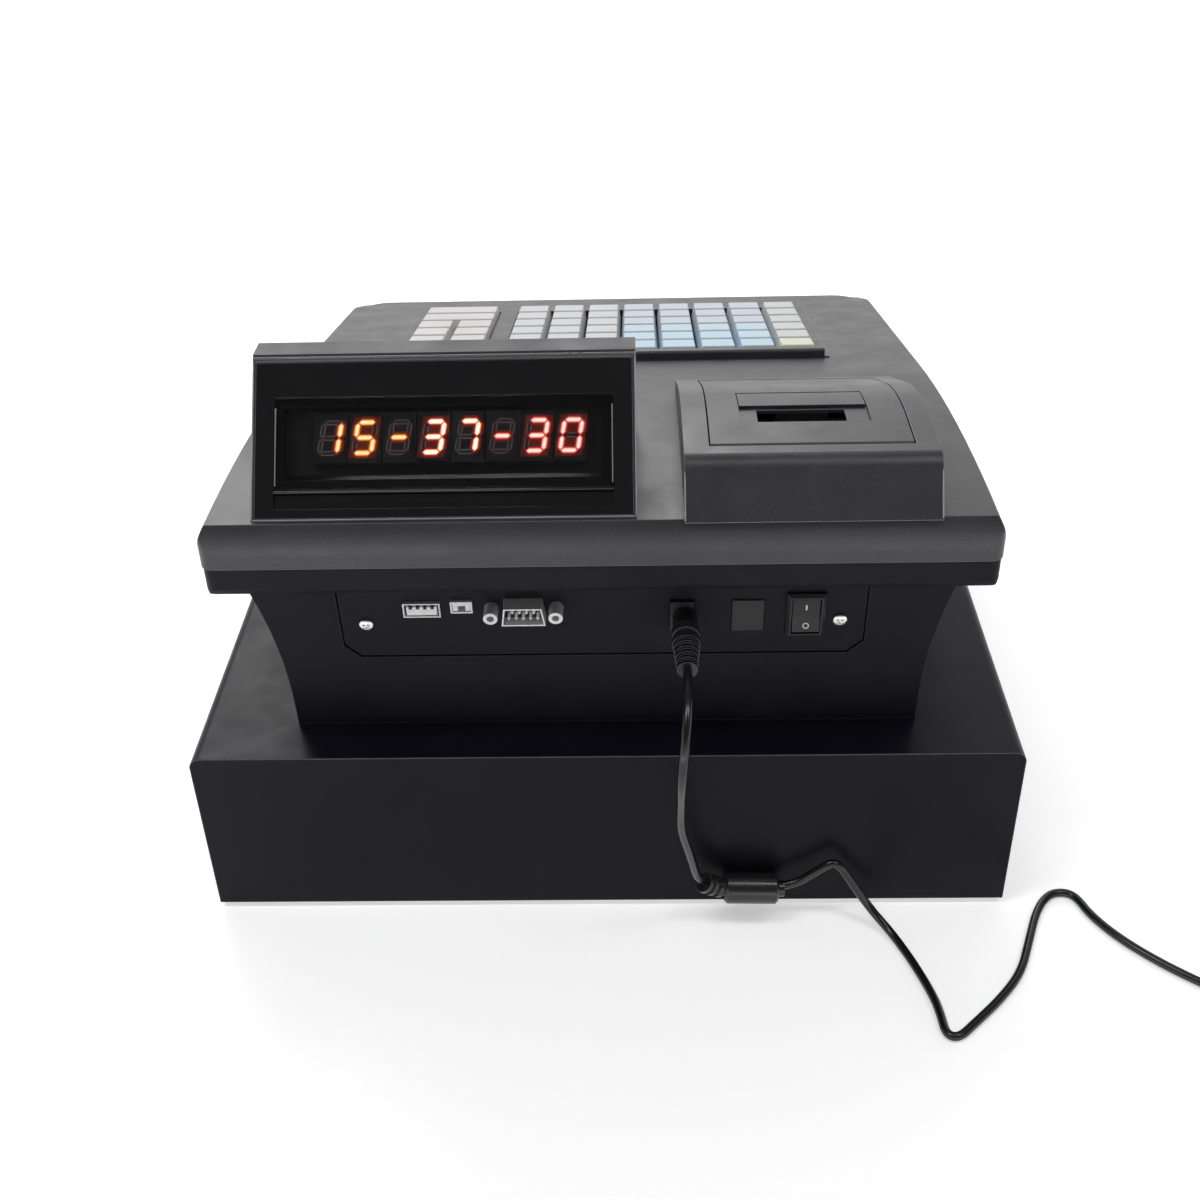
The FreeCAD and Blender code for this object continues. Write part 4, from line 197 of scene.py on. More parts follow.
@dataclass(frozen=True)
class Finish:
    """One surface finish of the register."""

    name: str
    colour: Colour
    worn: Colour
    rough: tuple[float, float] = (0.45, 0.6)
    size: float = 0.5
    height: float = 0.02
    grain: Grain = Grain.SANDED
    glints: float = 0.0
    metal: float = 0.0
    shine: float = 0.5
    coat: float = 0.0
    edge: float = 0.25
    # The next two fields paint a highlight on edges: the colour is lightened towards a pale grey
    # where the smoothed normal turns, whatever the light.
    edge_highlight: float = 0.0
    highlight_colour: Colour = (0.30, 0.30, 0.31)
    bands: tuple[tuple[float, Colour], ...] = ()

    def surface(self, tree: Tree) -> bpy.types.NodeSocket:
        """The finish's relief as a value.

        Args:
            tree: the material under way.

        Returns:
            The height's socket.
        """
        fine = 1 / (self.size * MM)
        if self.grain is Grain.BRUSHED:
            return tree.noise(fine, 3, 0.6, (0.04, 1, 1))
        if self.grain is Grain.PEEL:
            return tree.noise(fine, 1.5, 0.4)
        if self.grain is Grain.FIBRE:
            return tree.noise(fine, 6, 0.7, (1, 0.4, 1))
        return tree.noise(fine, 4, 0.65)

    def tone(self, tree: Tree) -> bpy.types.NodeSocket:
        """The finish's colour: broad cloudiness, bands across X and fine bright specks, which are
        painted glints.

        Args:
            tree: the material under way.

        Returns:
            The colour's socket.
        """
        clouds = tree.span(tree.noise(CLOUDS, 3, 0.55), 0, 1)
        if self.bands:
            base = self.banded(tree)
            worn = tree.blend(clouds, base, self.worn)
            colour = tree.blend(tree.span(clouds, 0, KEY_CLOUD, 0, 1), base, worn)
        else:
            colour = tree.blend(clouds, self.colour, self.worn)
        if self.glints:
            # Painted glints: bright specks blended into the colour.
            glint_spots = tree.span(tree.noise(GLINT_SCALE, 2, 0.7), 0, self.glints, *GLINT_RANGE)
            colour = tree.blend(glint_spots, colour, tuple(min(1, 5 * c + 0.08) for c in self.worn))
        return colour

    def banded(self, tree: Tree) -> bpy.types.NodeSocket:
        """Colours that change from column to column of the keyboard.

        Args:
            tree: the material under way.

        Returns:
            The colour's socket.
        """
        split = tree.add("ShaderNodeSeparateXYZ", "place across")
        tree.links.new(tree.place(), split.inputs[0])
        low, high = self.bands[0][0], self.bands[-1][0]
        across = tree.span(split.outputs["X"], 0, 1, low, high)
        ramp = tree.add("ShaderNodeValToRGB", "colours of the columns")
        ramp.color_ramp.interpolation = "CONSTANT"
        steps = ramp.color_ramp.elements
        while len(steps) < len(self.bands) - 1:
            steps.new(0.5)
        for element, (start, colour) in zip(steps, self.bands):
            element.position = (start - low) / (high - low)
            element.color = (*colour, 1)
        tree.links.new(across, ramp.inputs[0])
        return ramp.outputs["Color"]

    def build(self) -> bpy.types.Material:
        """Makes the material.

        Returns:
            The material.
        """
        tree = Tree(self.name)
        relief = self.surface(tree)
        bump = tree.add("ShaderNodeBump", "relief")
        edge = tree.add("ShaderNodeBevel", "broken edges", samples=6)
        tree.set(edge, Radius=self.edge * MM)
        tree.set(bump, Height=relief, Strength=1.0, Distance=self.height * MM,
                 Normal=edge.outputs["Normal"])
        rough = tree.span(tree.noise(HANDLING, 4, 0.6), *self.rough)
        tone = self.tone(tree)
        # Painted highlight: edges are lightened where the smoothed normal turns away from the
        # face's.
        if self.edge_highlight:
            face = tree.add("ShaderNodeNewGeometry", "the flat face")
            turn = tree.add("ShaderNodeVectorMath", "how far the edge turns",
                            operation="DOT_PRODUCT")
            tree.links.new(edge.outputs["Normal"], turn.inputs[0])
            tree.links.new(face.outputs["Normal"], turn.inputs[1])
            highlight_mask = tree.span(turn.outputs["Value"], self.edge_highlight, 0, *EDGE_TURN)
            tone = tree.blend(highlight_mask, tone, self.highlight_colour)
        tree.set(tree.shader, Base_Color=tone, Roughness=rough,
                 Normal=bump.outputs["Normal"], Metallic=self.metal,
                 Specular_IOR_Level=self.shine, Coat_Weight=self.coat, Coat_Roughness=0.08)
        return tree.owner


@dataclass(frozen=True)
class Pane:
    """A clear or smoked window."""

    name: str
    tint: Colour
    rough: float = 0.03
    edge: float = 0.5

    def build(self) -> bpy.types.Material:
        """Makes the material, with faint wiping marks in its gloss."""
        tree = Tree(self.name)
        marks = tree.span(tree.noise(70, 3, 0.6), self.rough, self.rough + 0.02)
        cloud = tree.span(tree.noise(40), 0, 1)
        shade = tuple(c * 0.94 for c in self.tint)
        edge = tree.add("ShaderNodeBevel", "broken edges", samples=4)
        tree.set(edge, Radius=self.edge * MM)
        tree.set(tree.shader, Base_Color=tree.blend(cloud, self.tint, shade), Roughness=marks,
                 Normal=edge.outputs["Normal"], Transmission_Weight=1.0, IOR=1.3,
                 Specular_IOR_Level=0.5)
        return tree.owner


@dataclass(frozen=True)
class Lamp:
    """A lit part of the display, or a painted glow: round the lit segments, and faint on the unlit
    ones.
    """

    name: str
    colour: Colour
    light: float
    body: Colour = (0.05, 0.01, 0.008)

    def build(self) -> bpy.types.Material:
        """Makes the material, a little uneven along the segment as a lit diode is."""
        tree = Tree(self.name)
        uneven = tree.span(tree.noise(500), 0, 1)
        dim = tuple(c * 0.82 for c in self.colour)
        glow = tree.blend(uneven, self.colour, dim)
        dull = tuple(c * 0.8 for c in self.body)
        tree.set(tree.shader, Base_Color=tree.blend(uneven, self.body, dull),
                 Emission_Color=glow, Emission_Strength=self.light, Roughness=0.4)
        return tree.owner


MOULDED = Finish("charcoal_moulding", (0.019, 0.018, 0.022), (0.025, 0.024, 0.029),
                 (0.34, 0.46), 0.55, 0.045, glints=0.30, shine=0.55, edge=0.5,
                 edge_highlight=0.8, highlight_colour=(0.42, 0.42, 0.43))
HOOD = Finish("hood_moulding", (0.017, 0.016, 0.020), (0.022, 0.021, 0.026), (0.40, 0.52),
              0.55, 0.04, glints=0.25, shine=0.30, edge=0.4, edge_highlight=0.6,
              highlight_colour=(0.42, 0.42, 0.43))
# Pale grey of the thin rods laid along edges: painted highlights.
ROD_HIGHLIGHT = Finish("painted_edge_highlight", (0.24, 0.24, 0.25), (0.34, 0.34, 0.35), (0.18, 0.30),
                0.5, 0.01, shine=0.6, edge=0.1)
FITTED = replace(MOULDED, name="fitted_moulding", height=0.03, glints=0.25, edge=0.2,
                 edge_highlight=0.25, highlight_colour=(0.30, 0.30, 0.31))
ROLL = Finish("charcoal_pedestal", (0.007, 0.0065, 0.010), (0.010, 0.009, 0.013),
              (0.42, 0.55), 0.6, 0.02, glints=0.03, shine=0.12, edge=0.5, edge_highlight=0.3)
POWDER = Finish("black_powder_coat", (0.005, 0.0045, 0.009), (0.007, 0.0062, 0.011),
                (0.28, 0.40), 1.4, 0.02, Grain.PEEL, shine=0.13, edge=0.9, edge_highlight=0.85)
GLOSSY = Finish("gloss_black", (0.004, 0.004, 0.005), (0.006, 0.006, 0.007), (0.05, 0.12),
                3.0, 0.001, Grain.POLISHED, shine=0.5, coat=0.3, edge=0.3)
SOCKET_BLACK = Finish("socket_black", (0.012, 0.012, 0.014), (0.018, 0.018, 0.020),
                      (0.35, 0.5), 0.4, 0.01, shine=0.35, edge=0.2)
RUBBER = Finish("lead_rubber", (0.009, 0.009, 0.010), (0.013, 0.013, 0.014), (0.20, 0.32),
                0.8, 0.01, shine=0.6, edge=0.3, edge_highlight=0.9, highlight_colour=(0.22, 0.22, 0.23))
ZINC = Finish("zinc_sheet", (0.50, 0.51, 0.52), (0.60, 0.61, 0.62), (0.28, 0.42),
              0.4, 0.004, Grain.BRUSHED, metal=1.0, edge=0.15)
NICKEL = Finish("bright_nickel", (0.72, 0.72, 0.72), (0.80, 0.79, 0.77), (0.14, 0.28),
                0.3, 0.002, Grain.BRUSHED, metal=1.0, edge=0.12)
TINNED = Finish("tinned_sheet", (0.66, 0.66, 0.67), (0.80, 0.80, 0.80), (0.22, 0.36),
                0.3, 0.01, Grain.BRUSHED, metal=0.4, edge=0.15)
BOARD = Finish("circuit_board", (0.012, 0.07, 0.03), (0.02, 0.10, 0.045), (0.3, 0.45),
               0.8, 0.01, edge=0.1)
PAPER = Finish("till_paper", (0.82, 0.81, 0.78), (0.88, 0.87, 0.85), (0.75, 0.9),
               0.2, 0.006, Grain.FIBRE, shine=0.25, edge=0.1)
FOOT = Finish("foot_rubber", (0.02, 0.02, 0.02), (0.03, 0.03, 0.03), (0.75, 0.9),
              0.6, 0.02, shine=0.3)
ROLLER = Finish("platen_rubber", (0.035, 0.035, 0.038), (0.05, 0.05, 0.052), (0.6, 0.75),
                0.3, 0.01)
TILL = Finish("till_moulding", (0.022, 0.022, 0.025), (0.028, 0.028, 0.031), (0.4, 0.52),
              0.8, 0.02, shine=0.4, edge=0.6)
MARK = Finish("printed_white", (0.72, 0.72, 0.72), (0.8, 0.8, 0.8), (0.45, 0.6),
              0.3, 0.002, edge=0.05)
TONGUE = Finish("socket_tongue", (0.78, 0.78, 0.77), (0.84, 0.84, 0.83), (0.4, 0.5),
                0.3, 0.002, edge=0.1)
# The ledge's moulding, lighter than the hood's: a painted highlight on the rounded ledge, with
# painted glints.
LEDGE_HIGHLIGHT = Finish("ledge_moulding_painted_highlight", (0.034, 0.033, 0.038), (0.050, 0.049, 0.054), (0.26, 0.38),
               0.5, 0.05, glints=0.5, shine=0.6, edge=0.2)
# Pale grey of the thin lines at the window's sides: painted highlights of the lens's polished
# edges.
WINDOW_HIGHLIGHT = Finish("painted_window_highlight", (0.16, 0.16, 0.17), (0.22, 0.22, 0.23), (0.12, 0.22),
              0.8, 0.002, Grain.POLISHED, shine=0.6, edge=0.1)
CORD = Finish("lead_jacket", (0.006, 0.006, 0.007), (0.009, 0.009, 0.010), (0.16, 0.26),
              2.0, 0.004, Grain.POLISHED, shine=0.5, edge=0.05)
SMOKED = Pane("smoked_window", (0.68, 0.66, 0.67), 0.02)
# The unlit segments glow faintly: a painted sheen for the light that their surfaces pick up,
# brighter at their edges.
GHOST = Lamp("unlit_edge", (0.34, 0.26, 0.26), 0.48, (0.05, 0.04, 0.04))
DARK = Lamp("unlit_middle", (0.05, 0.03, 0.03), 0.2, (0.012, 0.010, 0.010))

GREY_KEY: Colour = (0.54, 0.54, 0.55)
BLUE_KEY: Colour = (0.49, 0.54, 0.60)
DEEP_KEY: Colour = (0.45, 0.58, 0.67)
CREAM_KEY: Colour = (0.53, 0.54, 0.54)
YELLOW_KEY: Colour = (0.64, 0.63, 0.49)
WHITE_KEY: Colour = (0.60, 0.57, 0.575)
KEY_PITCH = 18.86
KEY_LEFT = -91.4 - KEY_PITCH / 2
WHITE_CAPS = Finish("white_key_caps", WHITE_KEY, tuple(c * 0.92 for c in WHITE_KEY), (0.35, 0.5),
                    0.8, 0.004, shine=0.5, edge=0.4)


def key_finish(name: str, blue: Colour, last: Colour) -> Finish:
    """The finish of a row of eight key caps, column by column.

    Args:
        name: the finish's name.
        blue: the colour of columns 4 to 7.
        last: the colour of column 8, the one nearest the edge.

    Returns:
        The finish.
    """
    colours = [last] + [blue] * 4 + [GREY_KEY] * 4
    bands = tuple(((KEY_LEFT + n * KEY_PITCH) * MM, c) for n, c in enumerate(colours))
    return replace(WHITE_CAPS, name=name, colour=blue, worn=tuple(c * 0.9 for c in blue),
                   bands=bands)


KEY_ROWS = [
    key_finish("key_caps_front", BLUE_KEY, CREAM_KEY),
    key_finish("key_caps_blue", DEEP_KEY, CREAM_KEY),
    key_finish("key_caps_back", DEEP_KEY, YELLOW_KEY),
]


class Workshop:
    """Builds each finish once and puts it on solids and pieces."""

    def __init__(self) -> None:
        """Starts with no finish built."""
        self.made: dict[str, bpy.types.Material] = {}

    def finish(self, kind: object) -> bpy.types.Material:
        """The material of a finish.

        Args:
            kind: the finish.

        Returns:
            Its material.
        """
        if kind.name not in self.made:
            self.made[kind.name] = kind.build()
        return self.made[kind.name]

    def dress(self, names: Iterable[str], kind: object) -> None:
        """Puts a finish on solids of the frame.

        Args:
            names: the solids' nodes.
            kind: the finish.
        """
        for name in names:
            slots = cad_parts[name].data.materials
            if not slots:
                slots.append(None)
            for number in range(len(slots)):
                slots[number] = self.finish(kind)
            log.info("dressed %s in %s", name, kind.name)

    def copy(self, node: str) -> bmesh.types.BMesh:
        """The mesh of a solid, in metres, where it stands.

        Args:
            node: the solid.

        Returns:
            Its mesh.
        """
        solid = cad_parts[node]
        mesh = bmesh.new()
        mesh.from_mesh(solid.data)
        bmesh.ops.transform(mesh, matrix=solid.matrix_world, verts=mesh.verts)
        return mesh

    def piece(self, name: str, mesh: bmesh.types.BMesh, at: Matrix, kind: object, body: str,
              slot: str, stands_for: Sequence[str] = ()) -> bpy.types.Object:
        """Makes a piece of the scene out of a mesh.

        Args:
            name: the piece's name.
            mesh: its mesh, in millimetres, in the frame of its face.
            at: that frame.
            kind: its finish.
            body: the body that it rides on.
            slot: the record's material slot; not used.
            stands_for: solids that it replaces.

        Returns:
            The piece.
        """
        bmesh.ops.transform(mesh, matrix=at @ Matrix.Scale(MM, 4), verts=mesh.verts)
        bmesh.ops.recalc_face_normals(mesh, faces=mesh.faces)
        data = bpy.data.meshes.new(name)
        mesh.to_mesh(data)
        mesh.free()
        data.shade_smooth()
        data.set_sharp_from_angle(angle=SHARP_ANGLE)
        item = stand(name, data)
        data.materials.append(self.finish(kind))
        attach(item, body)
        if stands_for:
            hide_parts(*stands_for)
        log.info("made %s on %s", name, body)
        return item


def stand(name: str, data: bpy.types.ID) -> bpy.types.Object:
    """Stands a mesh, curve, lamp or camera in the scene.

    Args:
        name: the object's name.
        data: what it shows.

    Returns:
        The object.
    """
    item = bpy.data.objects.new(name, data)
    bpy.context.scene.collection.objects.link(item)
    return item


def plate(mesh: bmesh.types.BMesh, outline: Sequence[Point], low: float, high: float,
          bevel: float = 0.0) -> None:
    """Adds a plate in the X-Z plane of a face, between two depths along its outward Y.

    Args:
        mesh: the mesh that gets the plate.
        outline: its corners.
        low: its inner face.
        high: its outer face.
        bevel: the width of its broken outer edges.
    """
    ring = [mesh.verts.new((x, low, z)) for x, z in outline]
    base = mesh.faces.new(ring)
    grown = bmesh.ops.extrude_face_region(mesh, geom=[base])
    moved = [v for v in grown["geom"] if isinstance(v, bmesh.types.BMVert)]
    bmesh.ops.translate(mesh, vec=(0, high - low, 0), verts=moved)
    if bevel:
        picked = set(moved)
        edges = [e for e in mesh.edges if e.verts[0] in picked and e.verts[1] in picked]
        bmesh.ops.bevel(mesh, geom=edges, offset=bevel, segments=2, affect="EDGES", profile=0.6)


def turned(mesh: bmesh.types.BMesh, profile: Sequence[Point], x: float, z: float,
           steps: int = 48) -> list[bmesh.types.BMVert]:
    """Adds a turned form about a line along Y.

    Args:
        mesh: the mesh that gets it.
        profile: radius and depth of each ring; a radius of zero closes an end.
        x: the axis's place.
        z: the axis's height.
        steps: points round each ring.

    Returns:
        The new corners.
    """
    rings: list[list[bmesh.types.BMVert]] = []
    for radius, depth in profile:
        count = 1 if radius == 0 else steps
        rings.append([
            mesh.verts.new((x + radius * math.cos(math.tau * n / steps), depth,
                            z + radius * math.sin(math.tau * n / steps)))
            for n in range(count)
        ])
    for one, two in zip(rings, rings[1:]):
        for n in range(steps):
            m = (n + 1) % steps
            corners = [one[n % len(one)], one[m % len(one)], two[m % len(two)], two[n % len(two)]]
            unique = list(dict.fromkeys(corners))
            if len(unique) > 2:
                mesh.faces.new(unique)
    return [v for ring in rings for v in ring]


def bridge(mesh: bmesh.types.BMesh, one: Sequence[bmesh.types.BMVert],
           two: Sequence[bmesh.types.BMVert]) -> None:
    """Joins two rings of as many corners with faces.

    Args:
        mesh: the mesh that holds them.
        one: the first ring.
        two: the second.
    """
    for n in range(len(one)):
        m = (n + 1) % len(one)
        mesh.faces.new((one[n], one[m], two[m], two[n]))


def bar(mesh: bmesh.types.BMesh, ends: Sequence[Sequence[Sequence[float]]]) -> None:
    """Adds a closed bar between two outlines.

    Args:
        mesh: the mesh that gets it.
        ends: the two outlines.
    """
    rings = [[mesh.verts.new(corner) for corner in outline] for outline in ends]
    mesh.faces.new(rings[0])
    mesh.faces.new(rings[1][::-1])
    bridge(mesh, *rings)


def rectangle(x: float, z: float, width: float, height: float) -> list[Point]:
    """The corners of a rectangle about a middle.

    Args:
        x: the middle's place.
        z: the middle's height.
        width: its width.
        height: its height.

    Returns:
        Its corners.
    """
    w, h = width / 2, height / 2
    return [(x - w, z - h), (x + w, z - h), (x + w, z + h), (x - w, z + h)]


@dataclass(frozen=True)
class Glow:
    """How a group of lit digits shines."""

    name: str
    cells: range
    light: float
    core: Colour
    warm: Colour
    rim: Colour
    unlit: Colour = (0.010, 0.004, 0.004)

    def layers(self) -> tuple[tuple[str, float, Lamp], ...]:
        """Each layer from the halo in to the cores, and how much it is drawn in; the halo and the
        fringe reach past the segment and are painted glow.
        """
        return (
            ("halo", -1.15, Lamp(f"{self.name}_halo", self.rim, 0.17, self.unlit)),
            ("fringe", -0.42, Lamp(f"{self.name}_fringe", self.rim, 0.62, self.unlit)),
            ("segments", 0.0, Lamp(f"{self.name}_segment", self.warm, self.light)),
            ("cores", 0.42, Lamp(f"{self.name}_core", self.core, self.light * 1.25)),
        )


@dataclass
class CustomerDisplay:
    """The eight digits behind the window: lit segments with their glow, and the unlit ones."""

    shop: Workshop
    text: str = "15-37-30"
    middle: float = 54.0
    height: float = 31.0
    pitch: float = 12.66
    tall: float = 13.3
    wide: float = 8.4
    stroke: float = 1.9
    slant: float = 9.0
    depth: float = -2.1
    layer: float = 0.03
    gap: float = 0.2
    unlit_inset: float = 0.10
    dark_inset: float = 0.36
    around: Point = (1.6, 1.8)
    cells: dict[str, str] = field(default_factory=lambda: {
        "0": "abcdef", "1": "bc", "3": "abcdg", "5": "acdfg", "7": "abc", "-": "g",
    })

    def segment(self, key: str, inset: float) -> list[Point]:
        """The outline of one segment about its cell's middle, before the slant.

        Args:
            key: the segment's letter, from a at the top round to f, and g across the middle.
            inset: how much it is drawn in.

        Returns:
            Its corners, seen from outside.
        """
        w, h, t = self.wide / 2, self.tall / 2, self.stroke / 2 - inset
        reach = self.gap + inset
        if key in "adg":
            z = {"a": h - self.stroke / 2, "d": self.stroke / 2 - h, "g": 0.0}[key]
            x = w - self.stroke / 2 - reach
            return [(-x, z), (-x + t, z + t), (x - t, z + t), (x, z), (x - t, z - t),
                    (-x + t, z - t)]
        x = (w - self.stroke / 2) * (1 if key in "bc" else -1)
        low, high = (0, h - self.stroke / 2) if key in "bf" else (self.stroke / 2 - h, 0)
        low, high = low + reach, high - reach
        return [(x, low), (x + t, low + t), (x + t, high - t), (x, high), (x - t, high - t),
                (x - t, low + t)]

    def slanted(self, number: int, outline: Sequence[Point]) -> list[Point]:
        """An outline of a cell in its place on the face, leaning as the digits do.

        Args:
            number: the cell, counted from the reader's left.
            outline: the outline about the cell's middle.

        Returns:
            Its corners on the face.
        """
        middle = self.middle + ((len(self.text) - 1) / 2 - number) * self.pitch
        lean = math.tan(math.radians(self.slant))
        return [(middle - x - z * lean, self.height + z) for x, z in outline]

    def cell(self, mesh: bmesh.types.BMesh, number: int, keys: str, step: int,
             inset: float) -> None:
        """Adds the named segments of one cell.

        Args:
            mesh: the mesh that gets them.
            number: the cell, counted from the reader's left.
            keys: the segments.
            step: their layer, counted outwards.
            inset: how much they are drawn in.
        """
        for key in keys:
            plate(mesh, self.slanted(number, self.segment(key, inset)), self.depth,
                  self.depth + self.layer * step)

    def build(self) -> None:
        """Makes the fields, which are painted glow round the lit digits, the layers of the lit
        segments and the unlit ones.
        """
        groups = (
            Glow("amber", range(0, 3), 1.7, (1.0, 0.74, 0.34), (1.0, 0.36, 0.06),
                 (1.0, 0.09, 0.02)),
            Glow("white_hot", range(3, 5), 2.1, (1.0, 0.90, 0.76), (1.0, 0.42, 0.20),
                 (1.0, 0.07, 0.03)),
            Glow("rose", range(5, 8), 1.6, (1.0, 0.74, 0.64), (1.0, 0.26, 0.18),
                 (1.0, 0.05, 0.04)),
        )
        unlit, middles = bmesh.new(), bmesh.new()
        for group in groups:
            cell_glow = bmesh.new()
            for number in group.cells:
                keys = self.cells[self.text[number]]
                dark = "".join(k for k in "abcdefg" if k not in keys)
                self.cell(unlit, number, dark, 2, self.unlit_inset)
                self.cell(middles, number, dark, 3, self.dark_inset)
                if len(keys) > 3:
                    glow_outline = rectangle(0, 0, self.wide + self.around[0],
                                         self.tall + self.around[1])
                    plate(cell_glow, self.slanted(number, glow_outline), self.depth,
                          self.depth + self.layer)
            if cell_glow.verts:
                # The field is painted glow: a faintly glowing patch round each lit digit, where
                # its light spreads.
                field_lamp = Lamp(f"{group.name}_field", group.rim, 0.10, group.unlit)
                self.shop.piece(f"{group.name}_field", cell_glow, FACE, field_lamp, "base",
                                "digit_red")
            else:
                cell_glow.free()
            for step, (part, inset, lamp) in enumerate(group.layers(), 3):
                mesh = bmesh.new()
                for number in group.cells:
                    self.cell(mesh, number, self.cells[self.text[number]], step, inset)
                self.shop.piece(f"{group.name}_{part}", mesh, FACE, lamp, "base", "digit_red")
        self.shop.piece("unlit_segments", unlit, FACE, GHOST, "base", "digit_red")
        self.shop.piece("unlit_middles", middles, FACE, DARK, "base", "digit_red")


@dataclass
class Surround:
    """What frames the window: the rounded ledge over it, coloured lighter as a painted highlight,
    its pale side lines, which are painted highlights, and the sill below.
    """

    shop: Workshop
    left: float = 127.1
    right: float = -14.1
    top: float = 60.25
    ledge: float = 2.2
    proud: float = 0.9
    lens_left: float = 118.8
    lens_right: float = -5.8
    lens_low: float = 12.0
    lens_high: float = 46.0
    inset: float = 0.3
    sunk: float = 0.2
    line: float = 0.45
    line_drop: float = 1.5
    line_short: float = 5.0
    line_faces: Point = (-0.3, 0.12)
    line_round: float = 0.05
    sill: float = 1.3
    sill_gap: float = 0.6
    sill_proud: float = 0.7

    def rail(self, mesh: bmesh.types.BMesh, low: float, high: float, start: float, end: float,
             rise: float, steps: int = 10) -> None:
        """Adds a bar along X whose outer side is rounded.

        Args:
            mesh: the mesh that gets it.
            low: its lower edge.
            high: its upper edge.
            start: its end at the lower X.
            end: its end at the higher X.
            rise: how proud its middle stands.
            steps: the faces of its round.
        """
        half, middle = (high - low) / 2, (high + low) / 2
        profile = [(-self.sunk, low), (-self.sunk, high)]
        for n in range(steps + 1):
            angle = math.pi * n / steps
            profile.append((rise * math.sin(angle), middle + half * math.cos(angle)))
        bar(mesh, [[(x, y, z) for y, z in profile] for x in (start, end)])

    def build(self) -> None:
        """Makes the ledge with its painted highlight, the window's side lines painted bright as
        highlights, and the glossy sill.
        """
        ledge = bmesh.new()
        self.rail(ledge, self.top - self.ledge / 2, self.top + self.ledge / 2,
                  self.right + self.inset, self.left - self.inset, self.proud)
        # The ledge wears the lighter moulding: painted highlight.
        self.shop.piece("face_ledge", ledge, FACE, LEDGE_HIGHLIGHT, "base", "charcoal_shell")
        lines = bmesh.new()
        middle = (self.lens_low + self.lens_high) / 2 - self.line_drop
        tall = self.lens_high - self.lens_low - self.line_short
        for x in (self.lens_left - self.line, self.lens_right + self.line):
            plate(lines, rectangle(x, middle, self.line, tall), *self.line_faces, self.line_round)
        self.shop.piece("window_side_highlights", lines, FACE, WINDOW_HIGHLIGHT, "base", "gloss_black")
        sill = bmesh.new()
        self.rail(sill, self.lens_low - self.sill - self.sill_gap, self.lens_low - self.sill_gap,
                  self.lens_right, self.lens_left, self.sill_proud)
        self.shop.piece("window_sill", sill, FACE, GLOSSY, "base", "gloss_black")


@dataclass
class HighlightRods:
    """Thin pale rods along the edges round the face and on the printer's hood: painted highlights
    for rounded edges that catch the light.
    """

    shop: Workshop
    radius: float = 0.32
    left: float = 127.1
    right: float = -14.1
    inset: float = 0.25
    sunk: float = 0.2
    low: float = 0.6
    high: float = 61.6
    foot: float = 0.4
    hood: Point = (-31.2, -123.8)
    hood_inset: float = 0.2
    hood_top: Point = (167.3, 204.8)
    hood_foot: Point = (176.8, 190.0)

    def rod(self, mesh: bmesh.types.BMesh, start: Sequence[float], end: Sequence[float],
            sides: int = 8) -> None:
        """Adds a thin rod between two points.

        Args:
            mesh: the mesh that gets it.
            start: its first end, in millimetres.
            end: its other end.
            sides: the faces round it.
        """
        run = Vector(end) - Vector(start)
        across = run.orthogonal().normalized()
        other = run.normalized().cross(across)
        turns = [math.tau * n / sides for n in range(sides)]
        ring = [self.radius * (across * math.cos(a) + other * math.sin(a)) for a in turns]
        bar(mesh, [[Vector(at) + corner for corner in ring] for at in (start, end)])

    def build(self) -> None:
        """Makes the highlight rods on the edges of the face and on those of the printer's hood."""
        face = bmesh.new()
        for x in (self.left - self.inset, self.right + self.inset):
            self.rod(face, (x, -self.sunk, self.low), (x, -self.sunk, self.high))
        self.rod(face, (self.left - 2 * self.inset, -self.sunk, self.foot),
                 (self.right + 2 * self.inset, -self.sunk, self.foot))
        self.shop.piece("face_edges", face, FACE, ROD_HIGHLIGHT, "base", "charcoal_shell")
        hood = bmesh.new()
        for x in (self.hood[0] - self.hood_inset, self.hood[1] + self.hood_inset):
            self.rod(hood, (x, *self.hood_top), (x, *self.hood_foot))
        self.shop.piece("hood_edges", hood, Matrix.Identity(4), ROD_HIGHLIGHT, "base", "charcoal_shell")


